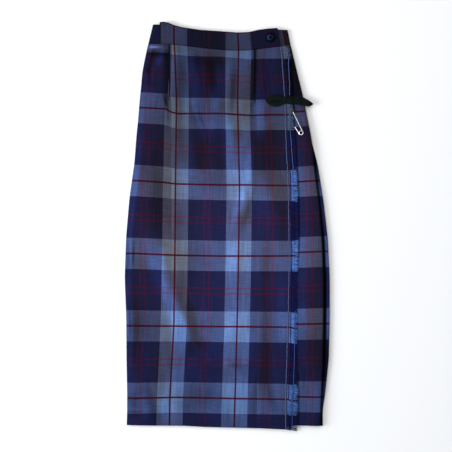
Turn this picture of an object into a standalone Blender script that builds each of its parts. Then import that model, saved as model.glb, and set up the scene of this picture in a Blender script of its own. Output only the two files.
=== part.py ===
"""A long wrap kilt in tartan cloth, laid flat on its pleated back with its front apron up.

X runs from the garment's left edge, as seen, to its right edge, Y from the hem up to the
waist, and Z up from the surface that it lies on. Sizes in the tables are in millimetres.
A drop is the distance down from the highest point of the waistband.
"""
import math

import bmesh
import bpy
import numpy as np

MM = 0.001
CLOTH = 1.2
GAP = 0.3
SEAM_GAP = 0.5
LAYER = CLOTH + GAP
FLOOR_LAYER = CLOTH / 2
TOP = 448.3
SEAM_DROP = 55.0
HEM_DROP = 891.0

# Levels of the middle of each layer over the floor
PLEAT_TOP = FLOOR_LAYER + 2 * LAYER
UNDER_LEVEL = PLEAT_TOP + LAYER
APRON_LEVEL = UNDER_LEVEL + LAYER

# The knife pleats: how many, the share of its face that each layer covers inside, and the
# run over which the inner layer steps down to the next face
KNIFE_PLEATS = 13
PLEAT_COVER = 0.8
STEP_START = 1.0
STEP_END = 4.5
FLAT_START = 7.5
FLAT_END = 3.0

# The outer pleat: its inner layer steps down over the last tuck, and its edge stands up
# over a valley beside the side panel
OUTER_STEP = (2.0, 5.0, 8.0)
HALF_STEP = 2.6
VALLEY_SLOPE = 2.0
VALLEY_EDGE = 4.5
TUCK_CLEARANCE = 10.5
PANEL_CLEARANCE = 9.0

# The side panel rises to its fold over this many radii, and the under apron's hidden edge
# lies this far in from the garment's left
PANEL_SLOPE = 12
UNDER_EDGE_INSET = 34.0
UNDER_STEPS = 14

# The waistband: its walls, how its side ends lean in to the top, and its ends from left to right
FRONT_BAND = 3.0
BACK_BAND = 2.4
BAND_LEAN = 28.0
BAND_LEFT = -173.5
BAND_JOIN = -148.5
BAND_END = 117.0
BAND_RIGHT = 140.0
UNDER_BAND_END = 40.0
BAND_LEVEL = UNDER_LEVEL + BACK_BAND / 2 + GAP + FRONT_BAND / 2

FRONT_BAND_STEPS = 24
BACK_BAND_STEPS = 16
UNDER_BAND_STEPS = 12

# The apron rises to the waistband, and its left side is turned round with a crease beside it
BAND_RISE = 1.2
RISE_RUN = 28.0
SIDE_ROLL = 2.4
SIDE_CREASE = 15.0

# The fringe: locks drawn out of narrow strips; the lower strip lies between the apron and
# the side panel, set in from the apron's edge
LOCKS = 96
LOCK_WALL = 0.8
LOCK_TAPER = 0.7
STRIP = 2.0
LOWER_SET = 5.0
OVER_PANEL = FLOOR_LAYER + GAP + LOCK_WALL / 2
UNDER_APRON = LOCK_WALL / 2 + 1.5 * GAP + FLOOR_LAYER
EDGE_RISE = (34.0, 24.0)

# Sections down the garment: the left edge, the apron's cut edge, the ends of the upper and
# the lower fringe, the fold of the side panel and its radius, the edge of the outer pleat
# and its radius
SECTIONS = np.array([
    # drop, left, apron, upper, lower, panel, roll, outer, outer_roll
    (55, -174.0, 122.0, 131.5, 138.5, 140.5, 0.75, 138.5, 0.75),
    (84, -180.5, 124.0, 133.0, 140.0, 147.5, 1.2, 145.5, 0.75),
    (117, -187.0, 127.0, 135.0, 142.5, 155.0, 1.6, 153.0, 0.75),
    (150, -189.5, 130.0, 137.0, 143.5, 163.5, 2.0, 161.5, 0.75),
    (166, -191.5, 131.0, 137.5, 144.0, 167.0, 2.2, 165.0, 0.75),
    (183, -193.0, 132.0, 138.5, 145.0, 170.5, 2.4, 168.5, 0.75),
    (216, -195.5, 133.0, 139.0, 146.0, 177.0, 2.8, 175.0, 0.75),
    (260, -200.0, 134.0, 140.0, 150.0, 186.0, 3.3, 185.0, 0.75),
    (287, -202.0, 135.5, 141.5, 151.5, 188.5, 3.6, 192.0, 1.2),
    (315, -204.0, 137.0, 143.5, 153.0, 191.0, 4.0, 199.0, 2.4),
    (392, -215.0, 140.0, 147.0, 156.5, 201.5, 4.0, 211.5, 3.3),
    (480, -222.5, 141.0, 148.0, 157.5, 209.0, 4.0, 221.5, 3.3),
    (568, -225.5, 140.0, 148.0, 153.5, 212.0, 4.0, 225.5, 3.3),
    (656, -222.0, 137.0, 148.5, 153.5, 212.0, 4.0, 225.5, 3.3),
    (744, -221.5, 134.5, 147.0, 153.5, 210.5, 4.0, 223.5, 3.3),
    (821, -220.0, 132.0, 142.0, 155.5, 207.5, 4.0, 215.5, 2.8),
    (858, -220.0, 132.0, 141.5, 155.0, 206.0, 3.8, 210.0, 1.3),
    (891, -221.0, 132.0, 141.0, 154.5, 204.5, 3.6, 210.5, 0.9),
])
DROP, LEFT, APRON, UPPER, LOWER, PANEL, ROLL, OUTER, OUTER_ROLL = range(9)

# Where the knife pleats of the back start, and where the last of them folds
BACK = np.array([
    # drop, first, last
    (55, -160.0, 104.0),
    (216, -181.0, 140.0),
    (392, -199.0, 165.0),
    (568, -211.0, 176.0),
    (744, -207.5, 174.5),
    (891, -207.0, 168.0),
])

# Curves across the garment: the drop of each edge at a place across
SEAM = np.array([
    (-173, 48.5), (-146, 49), (-110, 51.3), (-85, 54), (-60, 57.2), (-35, 60), (-10, 62.1),
    (15, 63.3), (40, 63), (60, 61.6), (90, 57.8), (116, 54.3), (141, 54),
])
HEM = np.array([
    (-221, 886), (-179, 887), (-95, 887.5), (-51, 890), (72, 893), (136, 896), (156, 896),
])
BACK_HEM = np.array([(-221, 884.5), (-95, 885), (150, 887), (211, 888)])
BAND_TOP = np.array([
    (-149, 1.5), (-141, 0), (-130, 2), (-117, 7.5), (-101, 12), (-61, 18),
    (24, 24), (50, 23), (73, 18), (94, 15.5), (116, 14),
])
BACK_BAND_TOP = np.array([
    (-165, 6.5), (-148, 6.5), (-101, 14), (24, 26), (73, 20), (112, 17), (130, 18),
])

# Soft folds that lie in the apron: their two ends, their height over the cloth and half
# width; each fades out past its ends over this many half widths
FOLD_FADE = 1.6
SOFT_FOLDS = (
    # x_start, drop_start, x_end, drop_end, height, half_width
    (-76, 60, -70, 190, 2.0, 22),
    (6, 75, 2, 190, 2.0, 20),
    (26, 325, 46, 425, 1.6, 14),
    (-141, 510, -136, 620, 1.6, 18),
    (-73, 705, -46, 725, 1.2, 16),
    (0, 745, 40, 780, 1.2, 16),
    (-218, 855, -173, 859, 1.2, 12),
    (-165, 300, -160, 480, 1.0, 24),
    (70, 560, 76, 700, 1.0, 24),
)

# The two waist darts: the place of the fold, and how far the cloth lies under it
DARTS = (-127.5, 60.0)
DART_COVER = np.array([(55, 10.5), (84, 9.5), (117, 7.5), (150, 4.5), (166, 0.4)])
DART_END = 183.0
DART_REST = 3.0
DART_EASE = 26.0
DART_SPACE = (6.0, 16.0)

# The button: its place across and its drop, its steps round and its profile
BUTTON_AT = (94.0, 35.0)
BUTTON_STEPS = 24
BUTTON_PROFILE = (
    # radius, height over its underside
    (0.0, 2.0), (6.6, 2.1), (8.2, 3.2), (9.8, 3.5), (11.0, 2.4), (10.6, 0.9), (8.2, 0.0), (0.0, 0.0),
)

# The tied ribbon over the pin: its edges and its thickness along its length
BOW_SECTIONS = (
    # across, upper_drop, lower_drop, thickness
    (83.5, 170.5, 174.5, 1.6),
    (88.0, 167.0, 179.0, 2.4),
    (97.0, 162.0, 185.5, 3.0),
    (108.0, 161.0, 187.0, 3.2),
    (118.0, 163.5, 183.5, 3.0),
    (126.0, 163.5, 181.0, 3.2),
    (132.5, 164.0, 180.5, 3.6),
    (135.0, 162.0, 181.5, 6.0),
    (142.5, 161.5, 181.5, 6.0),
    (145.0, 163.0, 181.0, 3.6),
    (156.0, 164.0, 182.5, 3.0),
    (168.5, 167.5, 184.5, 3.0),
    (178.0, 172.0, 187.0, 2.8),
    (188.0, 179.5, 182.0, 1.6),
)
BOW_FLOOR = 9.2
BOW_SIDES = 10

# The kilt pin: its wire, its coil, the ends of its spine and its arm, and its cap
PIN_WIRE = 2.2
COIL_AT = (162.0, 244.5)
COIL_RADIUS = 4.3
COIL_LOW = 10.6
COIL_HIGH = COIL_LOW + PIN_WIRE + GAP
SPINE_TOP = (144.2, 198.5, 11.4)
ARM_END = (148.5, 231.5, 8.25)
COIL_STEPS = 20
CAP_LENGTH = 12.0
CAP_WIDTH = 8.4
CAP_WALL = 4.0


def column(table, number, drop):
    """A column's value at a drop, between the rows of its table."""
    return float(np.interp(drop, table[:, 0], table[:, number]))


def at_drop(number, drop):
    return column(SECTIONS, number, drop)


def smoothstep(value):
    value = min(1.0, max(0.0, value))
    return value * value * (3.0 - 2.0 * value)


def material(name, color, roughness, metallic=0.0):
    made = bpy.data.materials.new(name)
    made.use_nodes = True
    shader = made.node_tree.nodes["Principled BSDF"]
    shader.inputs["Base Color"].default_value = (*color, 1.0)
    shader.inputs["Roughness"].default_value = roughness
    shader.inputs["Metallic"].default_value = metallic
    return made


def add_object(name, mesh, collection, finish):
    made = bpy.data.objects.new(name, mesh)
    made.data.materials.append(finish)
    collection.objects.link(made)
    return made


def cloth_wall(name, sections, wall, collection, finish):
    """A wall of cloth through sections: rows of (across, drop, height) in millimetres."""
    rows, columns = len(sections), len(sections[0])
    mesh = bpy.data.meshes.new(name)
    bm = bmesh.new()
    bmesh.ops.create_grid(bm, x_segments=columns - 1, y_segments=rows - 1, size=1.0)
    bm.verts.ensure_lookup_table()
    for row, section in enumerate(sections):
        for place, (across, drop, height) in enumerate(section):
            point = (across * MM, (TOP - drop) * MM, height * MM)
            bm.verts[row * columns + place].co = point
    bm.to_mesh(mesh)
    bm.free()
    mesh.shade_smooth()
    made = add_object(name, mesh, collection, finish)
    solid = made.modifiers.new("Wall", "SOLIDIFY")
    solid.thickness = wall * MM
    solid.offset = 0.0
    solid.use_even_offset = True
    return made


def lay_down(path, drop, top_edge, low_edge):
    """Turn a section's (across, height) points into cloth points between two edge curves."""
    share = (drop - SEAM_DROP) / (HEM_DROP - SEAM_DROP)
    points = []
    for across, height in path:
        top = float(np.interp(across, top_edge[:, 0], top_edge[:, 1]))
        low = float(np.interp(across, low_edge[:, 0], low_edge[:, 1]))
        points.append((across, top + SEAM_GAP + share * (low - top - SEAM_GAP), height))
    return points


def half_turn(centre_x, centre_z, radius, start, end, steps):
    """Points along an arc of a section, angles in degrees from +X towards +Z."""
    points = []
    for step in range(steps + 1):
        angle = math.radians(start + (end - start) * step / steps)
        points.append((centre_x + radius * math.cos(angle), centre_z + radius * math.sin(angle)))
    return points


def panel_height(across, drop):
    """Middle of the side panel and under apron: flat, then rising to the rolled side fold."""
    roll = at_drop(ROLL, drop)
    crown = PLEAT_TOP + 2 * roll
    fold = at_drop(PANEL, drop) - FLOOR_LAYER - roll
    rise = smoothstep((across - fold) / (PANEL_SLOPE * roll) + 1.0)
    return UNDER_LEVEL + (crown - UNDER_LEVEL) * rise


def lower_lock_height(across, drop):
    """Middle of a lower lock, straight from its strip to its end over the side panel."""
    start, end = at_drop(APRON, drop) - LOWER_SET, at_drop(LOWER, drop)
    heights = [panel_height(place, drop) + OVER_PANEL for place in (start, end)]
    return float(np.interp(across, (start, end), heights))


def fold_height(across, drop):
    """Sum of the apron's soft folds at a place."""
    total = 0.0
    for x_start, drop_start, x_end, drop_end, height, half_width in SOFT_FOLDS:
        along = np.array((x_end - x_start, drop_end - drop_start), float)
        length = float(np.linalg.norm(along))
        along /= length
        offset = np.array((across - x_start, drop - drop_start))
        ahead = float(offset @ along)
        aside = abs(float(offset[0] * along[1] - offset[1] * along[0]))
        past = max(0.0, -ahead, ahead - length)
        reach = math.hypot(aside / half_width, past / (FOLD_FADE * half_width))
        total += height * smoothstep(1.0 - reach)
    return total


def apron_height(across, drop):
    """Middle of the apron's cloth: over the under apron, lifted by its fringe and folds."""
    edge = at_drop(APRON, drop)
    over_panel = panel_height(across, drop) - UNDER_LEVEL
    under_band = BAND_RISE * smoothstep((SEAM_DROP - drop) / RISE_RUN + 1.0)
    level = APRON_LEVEL + max(over_panel, under_band) + fold_height(across, drop)
    on_fringe = lower_lock_height(across, drop) + UNDER_APRON
    share = smoothstep((across - edge + EDGE_RISE[0]) / EDGE_RISE[1])
    return level + share * max(0.0, on_fringe - level)


def dart_points(place, drop, base):
    """Points of a dart, the right side folded over the left; past its end they lie flat."""
    cover = column(DART_COVER, 1, drop)
    half = LAYER / 2
    if drop >= DART_END:
        return [(place + (step - 3) * LAYER, base) for step in range(7)]
    return [
        (place + cover, base),
        (place + cover + half, base + half),
        (place + cover, base + LAYER),
        (place, base + LAYER),
        (place - half, base + LAYER + half),
        (place, base + 2 * LAYER),
        (place + cover + DART_REST, base + 2 * LAYER),
    ]


def dart_lift(across, place, drop):
    """How far the cloth right of a dart lies up on it."""
    if drop >= DART_END or across < place:
        return 0.0
    past = across - place - column(DART_COVER, 1, drop) - DART_REST
    return 2 * LAYER * (1.0 - smoothstep(past / DART_EASE))


def apron_section(drop):
    """The apron from its end under the back, round the left side and across the front."""
    left, edge = at_drop(LEFT, drop), at_drop(APRON, drop)
    crease = left + SIDE_CREASE
    path = [(column(BACK, 1, drop) - GAP, FLOOR_LAYER)]
    path += half_turn(left + FLOOR_LAYER + SIDE_ROLL, FLOOR_LAYER + SIDE_ROLL, SIDE_ROLL, 270, 90, 4)
    path.append((crease, apron_height(crease, drop)))

    def field(start, end, steps, dart=None):
        for step in range(1, steps + 1):
            across = start + (end - start) * step / (steps + 1)
            lift = 0.0 if dart is None else dart_lift(across, dart, drop)
            path.append((across, apron_height(across, drop) + lift))

    before, after = DART_SPACE
    first, second = DARTS
    field(crease, first - before, 2)
    path.extend(dart_points(first, drop, apron_height(first, drop)))
    field(first + after, second - before, 8, first)
    path.extend(dart_points(second, drop, apron_height(second, drop)))
    field(second + after, edge, 4, second)
    path.append((edge, apron_height(edge, drop)))
    return lay_down(path, drop, SEAM, HEM)


def back_section(drop):
    """The knife pleats, each a face on the floor, a layer back and a layer on again."""
    first, last = column(BACK, 1, drop), column(BACK, 2, drop)
    pitch = (last - first) / KNIFE_PLEATS
    half = LAYER / 2
    path = [(first, FLOOR_LAYER)]
    for pleat in range(KNIFE_PLEATS):
        fold = first + (pleat + 1) * pitch - FLOOR_LAYER - half
        tuck = fold - PLEAT_COVER * pitch
        path += [
            (fold - pitch + FLAT_START, FLOOR_LAYER),
            (fold - FLAT_END, FLOOR_LAYER),
            (fold, FLOOR_LAYER),
            (fold + half, FLOOR_LAYER + half),
            (fold, FLOOR_LAYER + LAYER),
            (tuck, FLOOR_LAYER + LAYER),
        ]
        if pleat < KNIFE_PLEATS - 1:
            path += [
                (tuck - half, PLEAT_TOP - half),
                (tuck, PLEAT_TOP),
                (fold + STEP_START, PLEAT_TOP),
                (fold + STEP_END, FLOOR_LAYER),
            ]
    return lay_down(path, drop, SEAM, BACK_HEM)


def outer_section(drop):
    """The outer pleat: out of the last tuck, down to the floor, round at the far right."""
    first, last, outer = column(BACK, 1, drop), column(BACK, 2, drop), at_drop(OUTER, drop)
    half = LAYER / 2
    fold = last - FLOOR_LAYER - half
    tuck = fold - PLEAT_COVER * (last - first) / KNIFE_PLEATS
    roll = at_drop(OUTER_ROLL, drop)
    crest = FLOOR_LAYER + 2 * roll
    centre = outer - FLOOR_LAYER - roll
    valley = FLOOR_LAYER + LAYER
    over, half_way, down = (fold + run for run in OUTER_STEP)
    path = [(tuck, PLEAT_TOP), (over, PLEAT_TOP), (half_way, HALF_STEP), (down, FLOOR_LAYER)]
    path += half_turn(centre, FLOOR_LAYER + roll, roll, -90, 90, 6)
    path += [
        (centre - VALLEY_SLOPE, (crest + valley) / 2),
        (centre - VALLEY_EDGE, valley),
        (fold + TUCK_CLEARANCE, valley),
    ]
    return lay_down(path, drop, SEAM, BACK_HEM)


def under_section(drop):
    """The under apron from its hidden edge to the side fold, and the layer that turns under."""
    roll = at_drop(ROLL, drop)
    centre = at_drop(PANEL, drop) - FLOOR_LAYER - roll
    start = at_drop(LEFT, drop) + UNDER_EDGE_INSET
    slope = centre - PANEL_SLOPE * roll
    path = []
    for step in range(UNDER_STEPS + 1):
        across = start + (slope - start) * step / UNDER_STEPS
        path.append((across, UNDER_LEVEL))
    for share in (0.25, 0.5, 0.75):
        across = slope + PANEL_SLOPE * roll * share
        path.append((across, panel_height(across, drop)))
    path += half_turn(centre, PLEAT_TOP + roll, roll, 90, -90, 6)
    path.append((column(BACK, 2, drop) + PANEL_CLEARANCE, PLEAT_TOP))
    return lay_down(path, drop, SEAM, BACK_HEM)


def band_wall(name, path, top_edge, wall, collection, finish):
    """A stretch of waistband along a (across, height) path, from its top edge to the seam."""
    sections = []
    for share in (0.0, 0.5, 1.0):
        section = []
        for across, height in path:
            top = float(np.interp(across, top_edge[:, 0], top_edge[:, 1]))
            seam = float(np.interp(across, SEAM[:, 0], SEAM[:, 1]))
            drop = top + share * (seam - top)
            pull = across / BAND_RIGHT
            if height == BAND_LEVEL and across < 0.0:
                pull *= max(0.0, BAND_JOIN - across) / (BAND_JOIN - BAND_LEFT)
            lean = BAND_LEAN * (seam - drop) / BAND_RIGHT * pull
            section.append((across - lean, drop, height))
        sections.append(section)
    return cloth_wall(name, sections, wall, collection, finish)


def make_waistbands(collection, finish):
    start = BAND_JOIN + GAP
    pitch = (BAND_END - start) / FRONT_BAND_STEPS
    front = [(start + pitch * step, BAND_LEVEL) for step in range(FRONT_BAND_STEPS + 1)]
    band_wall("waistband_front", front, BAND_TOP, FRONT_BAND, collection, finish)

    floor = BACK_BAND / 2
    left_roll = (BAND_LEVEL - floor) / 2
    right_roll = (UNDER_LEVEL - floor) / 2
    left_centre = BAND_LEFT + floor + left_roll
    right_centre = BAND_RIGHT - floor - right_roll
    back = [(BAND_JOIN, BAND_LEVEL), ((BAND_JOIN + left_centre) / 2, BAND_LEVEL)]
    back += half_turn(left_centre, floor + left_roll, left_roll, 90, 270, 6)
    pitch = (right_centre - left_centre) / BACK_BAND_STEPS
    back += [(left_centre + pitch * step, floor) for step in range(1, BACK_BAND_STEPS)]
    back += half_turn(right_centre, floor + right_roll, right_roll, -90, 90, 6)
    pitch = (UNDER_BAND_END - right_centre) / UNDER_BAND_STEPS
    back += [(right_centre + pitch * step, UNDER_LEVEL) for step in range(1, UNDER_BAND_STEPS + 1)]
    band_wall("waistband_back", back, BACK_BAND_TOP, BACK_BAND, collection, finish)


def upper_lock_height(across, drop):
    """Middle of an upper lock, from the level of the apron down onto the lower fringe."""
    start, end = at_drop(APRON, drop), at_drop(UPPER, drop)
    level = lower_lock_height(end, drop) + LOCK_WALL + GAP
    return float(np.interp(across, (start, end), (apron_height(start, drop), level)))


def make_fringe(name, root, tips, height_at, low_edge, collection, finish):
    """A fringe: a narrow strip down the edge with locks drawn out of its side, one by one."""
    steps = 2 * LOCKS + 1
    mesh = bpy.data.meshes.new(name)
    bm = bmesh.new()
    bmesh.ops.create_cube(bm, size=2.0)
    long_edges = [e for e in bm.edges if abs(e.verts[0].co.y - e.verts[1].co.y) > 1.0]
    bmesh.ops.subdivide_edges(bm, edges=long_edges, cuts=steps - 1, use_grid_fill=True)

    def place(across, drop, above):
        point = lay_down([(across, height_at(across, drop) + above)], drop, SEAM, low_edge)[0]
        return (across * MM, (TOP - point[1]) * MM, point[2] * MM)

    def drop_of(y):
        return SEAM_DROP + (1.0 - y) / 2 * (HEM_DROP - SEAM_DROP)

    side = sorted((f for f in bm.faces if f.normal.x > 0.9), key=lambda f: -f.calc_center_median().y)
    locks = bmesh.ops.extrude_discrete_faces(bm, faces=side[1::2])["faces"]
    lock_verts = {v: f for f in locks for v in f.verts}
    middles = {v: drop_of(sum(w.co.y for w in f.verts) / 4) for v, f in lock_verts.items()}
    for vert in bm.verts:
        drop = drop_of(vert.co.y)
        above = LOCK_WALL / 2 * vert.co.z
        if vert in middles:
            drop = middles[vert] + LOCK_TAPER * (drop - middles[vert])
            vert.co = place(tips(drop), drop, above)
        else:
            vert.co = place(root(drop) + STRIP * (vert.co.x + 1) / 2, drop, above)
    bm.to_mesh(mesh)
    bm.free()
    return add_object(name, mesh, collection, finish)


def make_fringes(collection, finish):
    make_fringe(
        "fringe_lower", lambda drop: at_drop(APRON, drop) - LOWER_SET,
        lambda drop: at_drop(LOWER, drop), lower_lock_height, HEM, collection, finish,
    )
    make_fringe(
        "fringe_upper", lambda drop: at_drop(APRON, drop) + GAP,
        lambda drop: at_drop(UPPER, drop), upper_lock_height, HEM, collection, finish,
    )


def make_button(collection, finish):
    mesh = bpy.data.meshes.new("button")
    bm = bmesh.new()
    points = [bm.verts.new((radius * MM, 0.0, height * MM)) for radius, height in BUTTON_PROFILE]
    for one, two in zip(points, points[1:]):
        bm.edges.new((one, two))
    bm.to_mesh(mesh)
    bm.free()
    button = add_object("button", mesh, collection, finish)
    across, drop = BUTTON_AT
    button.location = (across * MM, (TOP - drop) * MM, (BAND_LEVEL + FRONT_BAND / 2 + GAP) * MM)
    turn = button.modifiers.new("Turn", "SCREW")
    turn.steps = BUTTON_STEPS
    turn.render_steps = BUTTON_STEPS
    turn.use_merge_vertices = True
    turn.merge_threshold = 0.00001
    return button


def make_bow(collection, finish):
    """Rings of a flattened oval along the bow, bridged and capped."""
    mesh = bpy.data.meshes.new("bow")
    bm = bmesh.new()
    rings = []
    for across, upper, lower, thickness in BOW_SECTIONS:
        middle, reach = (upper + lower) / 2, (lower - upper) / 2
        ring = []
        for side in range(BOW_SIDES):
            angle = 2 * math.pi * side / BOW_SIDES
            drop = middle - reach * math.cos(angle)
            height = BOW_FLOOR + thickness / 2 * (1.0 + math.sin(angle))
            ring.append(bm.verts.new((across * MM, (TOP - drop) * MM, height * MM)))
        rings.append(ring)
    edges = []
    for ring in rings:
        edges.append([bm.edges.new((ring[n - 1], ring[n])) for n in range(BOW_SIDES)])
    for one, two in zip(edges, edges[1:]):
        bmesh.ops.bridge_loops(bm, edges=one + two)
    bm.faces.new(rings[0])
    bm.faces.new(rings[-1])
    bmesh.ops.recalc_face_normals(bm, faces=bm.faces)
    bm.to_mesh(mesh)
    bm.free()
    return add_object("bow", mesh, collection, finish)


def make_pin(collection, finish):
    """The pin's wire: down the spine, once and a bit round the coil, and back up its arm."""
    def tangent_angle(end, turn):
        away = (end[0] - COIL_AT[0], COIL_AT[1] - end[1])
        distance = math.hypot(*away)
        return math.atan2(away[1], away[0]) + turn * math.acos(COIL_RADIUS / distance)

    start = tangent_angle(SPINE_TOP, -1.0)
    end = tangent_angle(ARM_END, 1.0)
    while end > start - math.pi:
        end -= 2 * math.pi
    points = [SPINE_TOP]
    for step in range(COIL_STEPS + 1):
        share = step / COIL_STEPS
        angle = start + (end - start) * share
        points.append((
            COIL_AT[0] + COIL_RADIUS * math.cos(angle),
            COIL_AT[1] - COIL_RADIUS * math.sin(angle),
            COIL_HIGH + (COIL_LOW - COIL_HIGH) * share,
        ))
    points.append(ARM_END)

    curve = bpy.data.curves.new("pin_wire", "CURVE")
    curve.dimensions = "3D"
    curve.bevel_depth = PIN_WIRE / 2 * MM
    curve.bevel_resolution = 2
    curve.use_fill_caps = True
    spline = curve.splines.new("POLY")
    spline.points.add(len(points) - 1)
    for spot, (across, drop, height) in zip(spline.points, points):
        spot.co = (across * MM, (TOP - drop) * MM, height * MM, 1.0)
    return add_object("pin_wire", curve, collection, finish)


def make_cap(collection, finish):
    """The pin's cap: a rounded, flattened shell of metal that holds the ends of the wire."""
    mesh = bpy.data.meshes.new("pin_cap")
    bm = bmesh.new()
    bmesh.ops.create_uvsphere(bm, u_segments=12, v_segments=8, radius=1.0)
    for vert in bm.verts:
        bulge = vert.co.copy()
        vert.co.x = bulge.x * CAP_WIDTH / 2 * MM
        vert.co.y = bulge.z * CAP_LENGTH / 2 * MM
        vert.co.z = -bulge.y * CAP_WALL / 2 * MM
    bm.to_mesh(mesh)
    bm.free()
    mesh.shade_smooth()
    cap = add_object("pin_cap", mesh, collection, finish)
    run = (SPINE_TOP[0] - COIL_AT[0], COIL_AT[1] - SPINE_TOP[1])
    length = math.hypot(*run)
    ahead = CAP_LENGTH / 2 + GAP
    across = SPINE_TOP[0] + run[0] / length * ahead
    drop = SPINE_TOP[1] - run[1] / length * ahead
    cap.location = (across * MM, (TOP - drop) * MM, SPINE_TOP[2] * MM)
    cap.rotation_euler = (0.0, 0.0, math.atan2(-run[0], run[1]))
    return cap


def main():
    for old in list(bpy.data.objects):
        bpy.data.objects.remove(old, do_unlink=True)
    kilt = bpy.data.collections.new("kilt")
    bpy.context.scene.collection.children.link(kilt)

    tartan = material("tartan_wool", (0.03, 0.035, 0.10), 0.85)
    yarn = material("fringe_yarn", (0.04, 0.07, 0.25), 0.8)
    ribbon = material("black_ribbon", (0.006, 0.008, 0.008), 0.6)
    horn = material("navy_button", (0.008, 0.01, 0.035), 0.3)
    steel = material("pin_steel", (0.75, 0.75, 0.76), 0.2, 1.0)

    drops = [float(row[DROP]) for row in SECTIONS]
    back_drops = [float(row[0]) for row in BACK]
    cloth_wall("front_apron", [apron_section(drop) for drop in drops], CLOTH, kilt, tartan)
    cloth_wall("under_apron", [under_section(drop) for drop in drops], CLOTH, kilt, tartan)
    cloth_wall("outer_pleat", [outer_section(drop) for drop in drops], CLOTH, kilt, tartan)
    cloth_wall("pleated_back", [back_section(drop) for drop in back_drops], CLOTH, kilt, tartan)
    make_waistbands(kilt, tartan)
    make_fringes(kilt, yarn)
    make_button(kilt, horn)
    make_bow(kilt, ribbon)
    make_pin(kilt, steel)
    make_cap(kilt, steel)


main()
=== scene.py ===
"""A long wrap kilt in blue tartan, laid flat on its pleated back and seen from straight above.

The kilt lies in the frame of its solids: X runs from its left edge, as seen, to its right
edge, Y from the hem up to the waist, and Z up from the floor. Places in the tables below are
in millimetres, and a drop is the distance down from the highest point of the waistband.
"""
import math

import bpy
import numpy as np
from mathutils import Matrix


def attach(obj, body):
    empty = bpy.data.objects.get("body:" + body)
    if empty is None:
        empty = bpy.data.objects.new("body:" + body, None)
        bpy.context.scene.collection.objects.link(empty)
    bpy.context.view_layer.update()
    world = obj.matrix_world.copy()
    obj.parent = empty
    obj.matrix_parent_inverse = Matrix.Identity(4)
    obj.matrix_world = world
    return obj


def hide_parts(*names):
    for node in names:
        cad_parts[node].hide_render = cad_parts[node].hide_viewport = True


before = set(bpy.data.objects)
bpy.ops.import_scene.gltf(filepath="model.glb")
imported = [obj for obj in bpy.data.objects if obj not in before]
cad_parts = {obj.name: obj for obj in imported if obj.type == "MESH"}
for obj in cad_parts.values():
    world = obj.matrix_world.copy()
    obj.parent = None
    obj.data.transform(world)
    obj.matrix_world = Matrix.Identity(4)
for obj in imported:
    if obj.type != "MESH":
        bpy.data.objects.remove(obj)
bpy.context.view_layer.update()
bpy.ops.object.select_all(action="DESELECT")


# The floor: a wide sheet of matt white card, larger than anything that the camera sees.
# The kilt lies loose on it, with the faces of its back pleats flat on the card.
bpy.ops.mesh.primitive_plane_add(size=8.0, location=(0.0, 0.0, -0.0003))
floor = bpy.context.object
floor.name = "floor"
card = bpy.data.materials.new("white_card")
card.use_nodes = True
card_shader = card.node_tree.nodes["Principled BSDF"]
card_shader.inputs["Base Color"].default_value = (0.97, 0.97, 0.97, 1.0)
card_shader.inputs["Roughness"].default_value = 0.9
floor.data.materials.append(card)

# The studio: a wide soft box over the waist end, a second one low from the left that brings
# out the folds, and an even white room for the rest.
def soft_box(place, tilt, size, energy, color=(1.0, 1.0, 1.0)):
    """A square lamp with a wide face, tilted by degrees from straight down."""
    bpy.ops.object.light_add(type="AREA", location=place)
    lamp = bpy.context.object
    lamp.data.size = size
    lamp.data.energy = energy
    lamp.data.color = color
    lamp.rotation_euler = [math.radians(turn) for turn in tilt]


soft_box((-0.5, 0.9, 2.3), (-21, -12, 0), 2.2, 27.0)
soft_box((-3.4, -0.4, 1.8), (0, -62, 0), 2.0, 150.0, (0.86, 0.92, 1.0))
room = bpy.data.worlds.new("white_room")
room.use_nodes = True
room.node_tree.nodes["Background"].inputs["Color"].default_value = (1.0, 1.0, 1.0, 1.0)
room.node_tree.nodes["Background"].inputs["Strength"].default_value = 0.42
bpy.context.scene.world = room
bpy.context.scene.view_settings.view_transform = "Standard"

# The camera looks straight down from 4 m, with the top of the picture towards the waist.
# Its long lens takes in 995 mm of the floor.
CAMERA_HEIGHT = 4.0
LENS, SENSOR = 144.8, 36.0
bpy.ops.object.camera_add(location=(-0.0026, -0.0005, CAMERA_HEIGHT), rotation=(0.0, 0.0, 0.0))
camera = bpy.context.object
camera.data.lens = LENS
camera.data.sensor_width = SENSOR
camera.data.clip_end = 50.0
bpy.context.scene.camera = camera


# The front apron: one width of light worsted twill, woven in the tartan and cut along the
# warp. It turns round the left side to the back, has two sewn waist darts that fold to the
# left, and ends at the right in the raw edge that the upper fringe is drawn out of.
MM = 0.001
# How far the waistband's highest point lies above the middle of the frame
TOP = 448.3
# The cloth's own thickness, and how much higher each fold of it lies on the last
CLOTH = 0.9
LAYER = 1.5
# How high the middle of each layer of cloth lies over the floor
FLOOR_LAYER = 0.6
PLEAT_TOP = 3.6
UNDER_LEVEL = 5.1
APRON_LEVEL = 6.6
# Rows are counted between these two drops, and the seam and hem tables then bend them
SEAM_DROP = 55.0
HEM_DROP = 891.0
# Half a repeat of the tartan across, a whole one down, and the twill's rib
WARP_HALF = 69.74
WEFT_REPEAT = 156.2
TWILL_RIB = 2.0
# Where the darts lie across, how far down they reach, and the stretch that they run out in
DARTS = (-127.5, 60.0)
DART_END = 150.0
DART_FADE = 60.0

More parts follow.
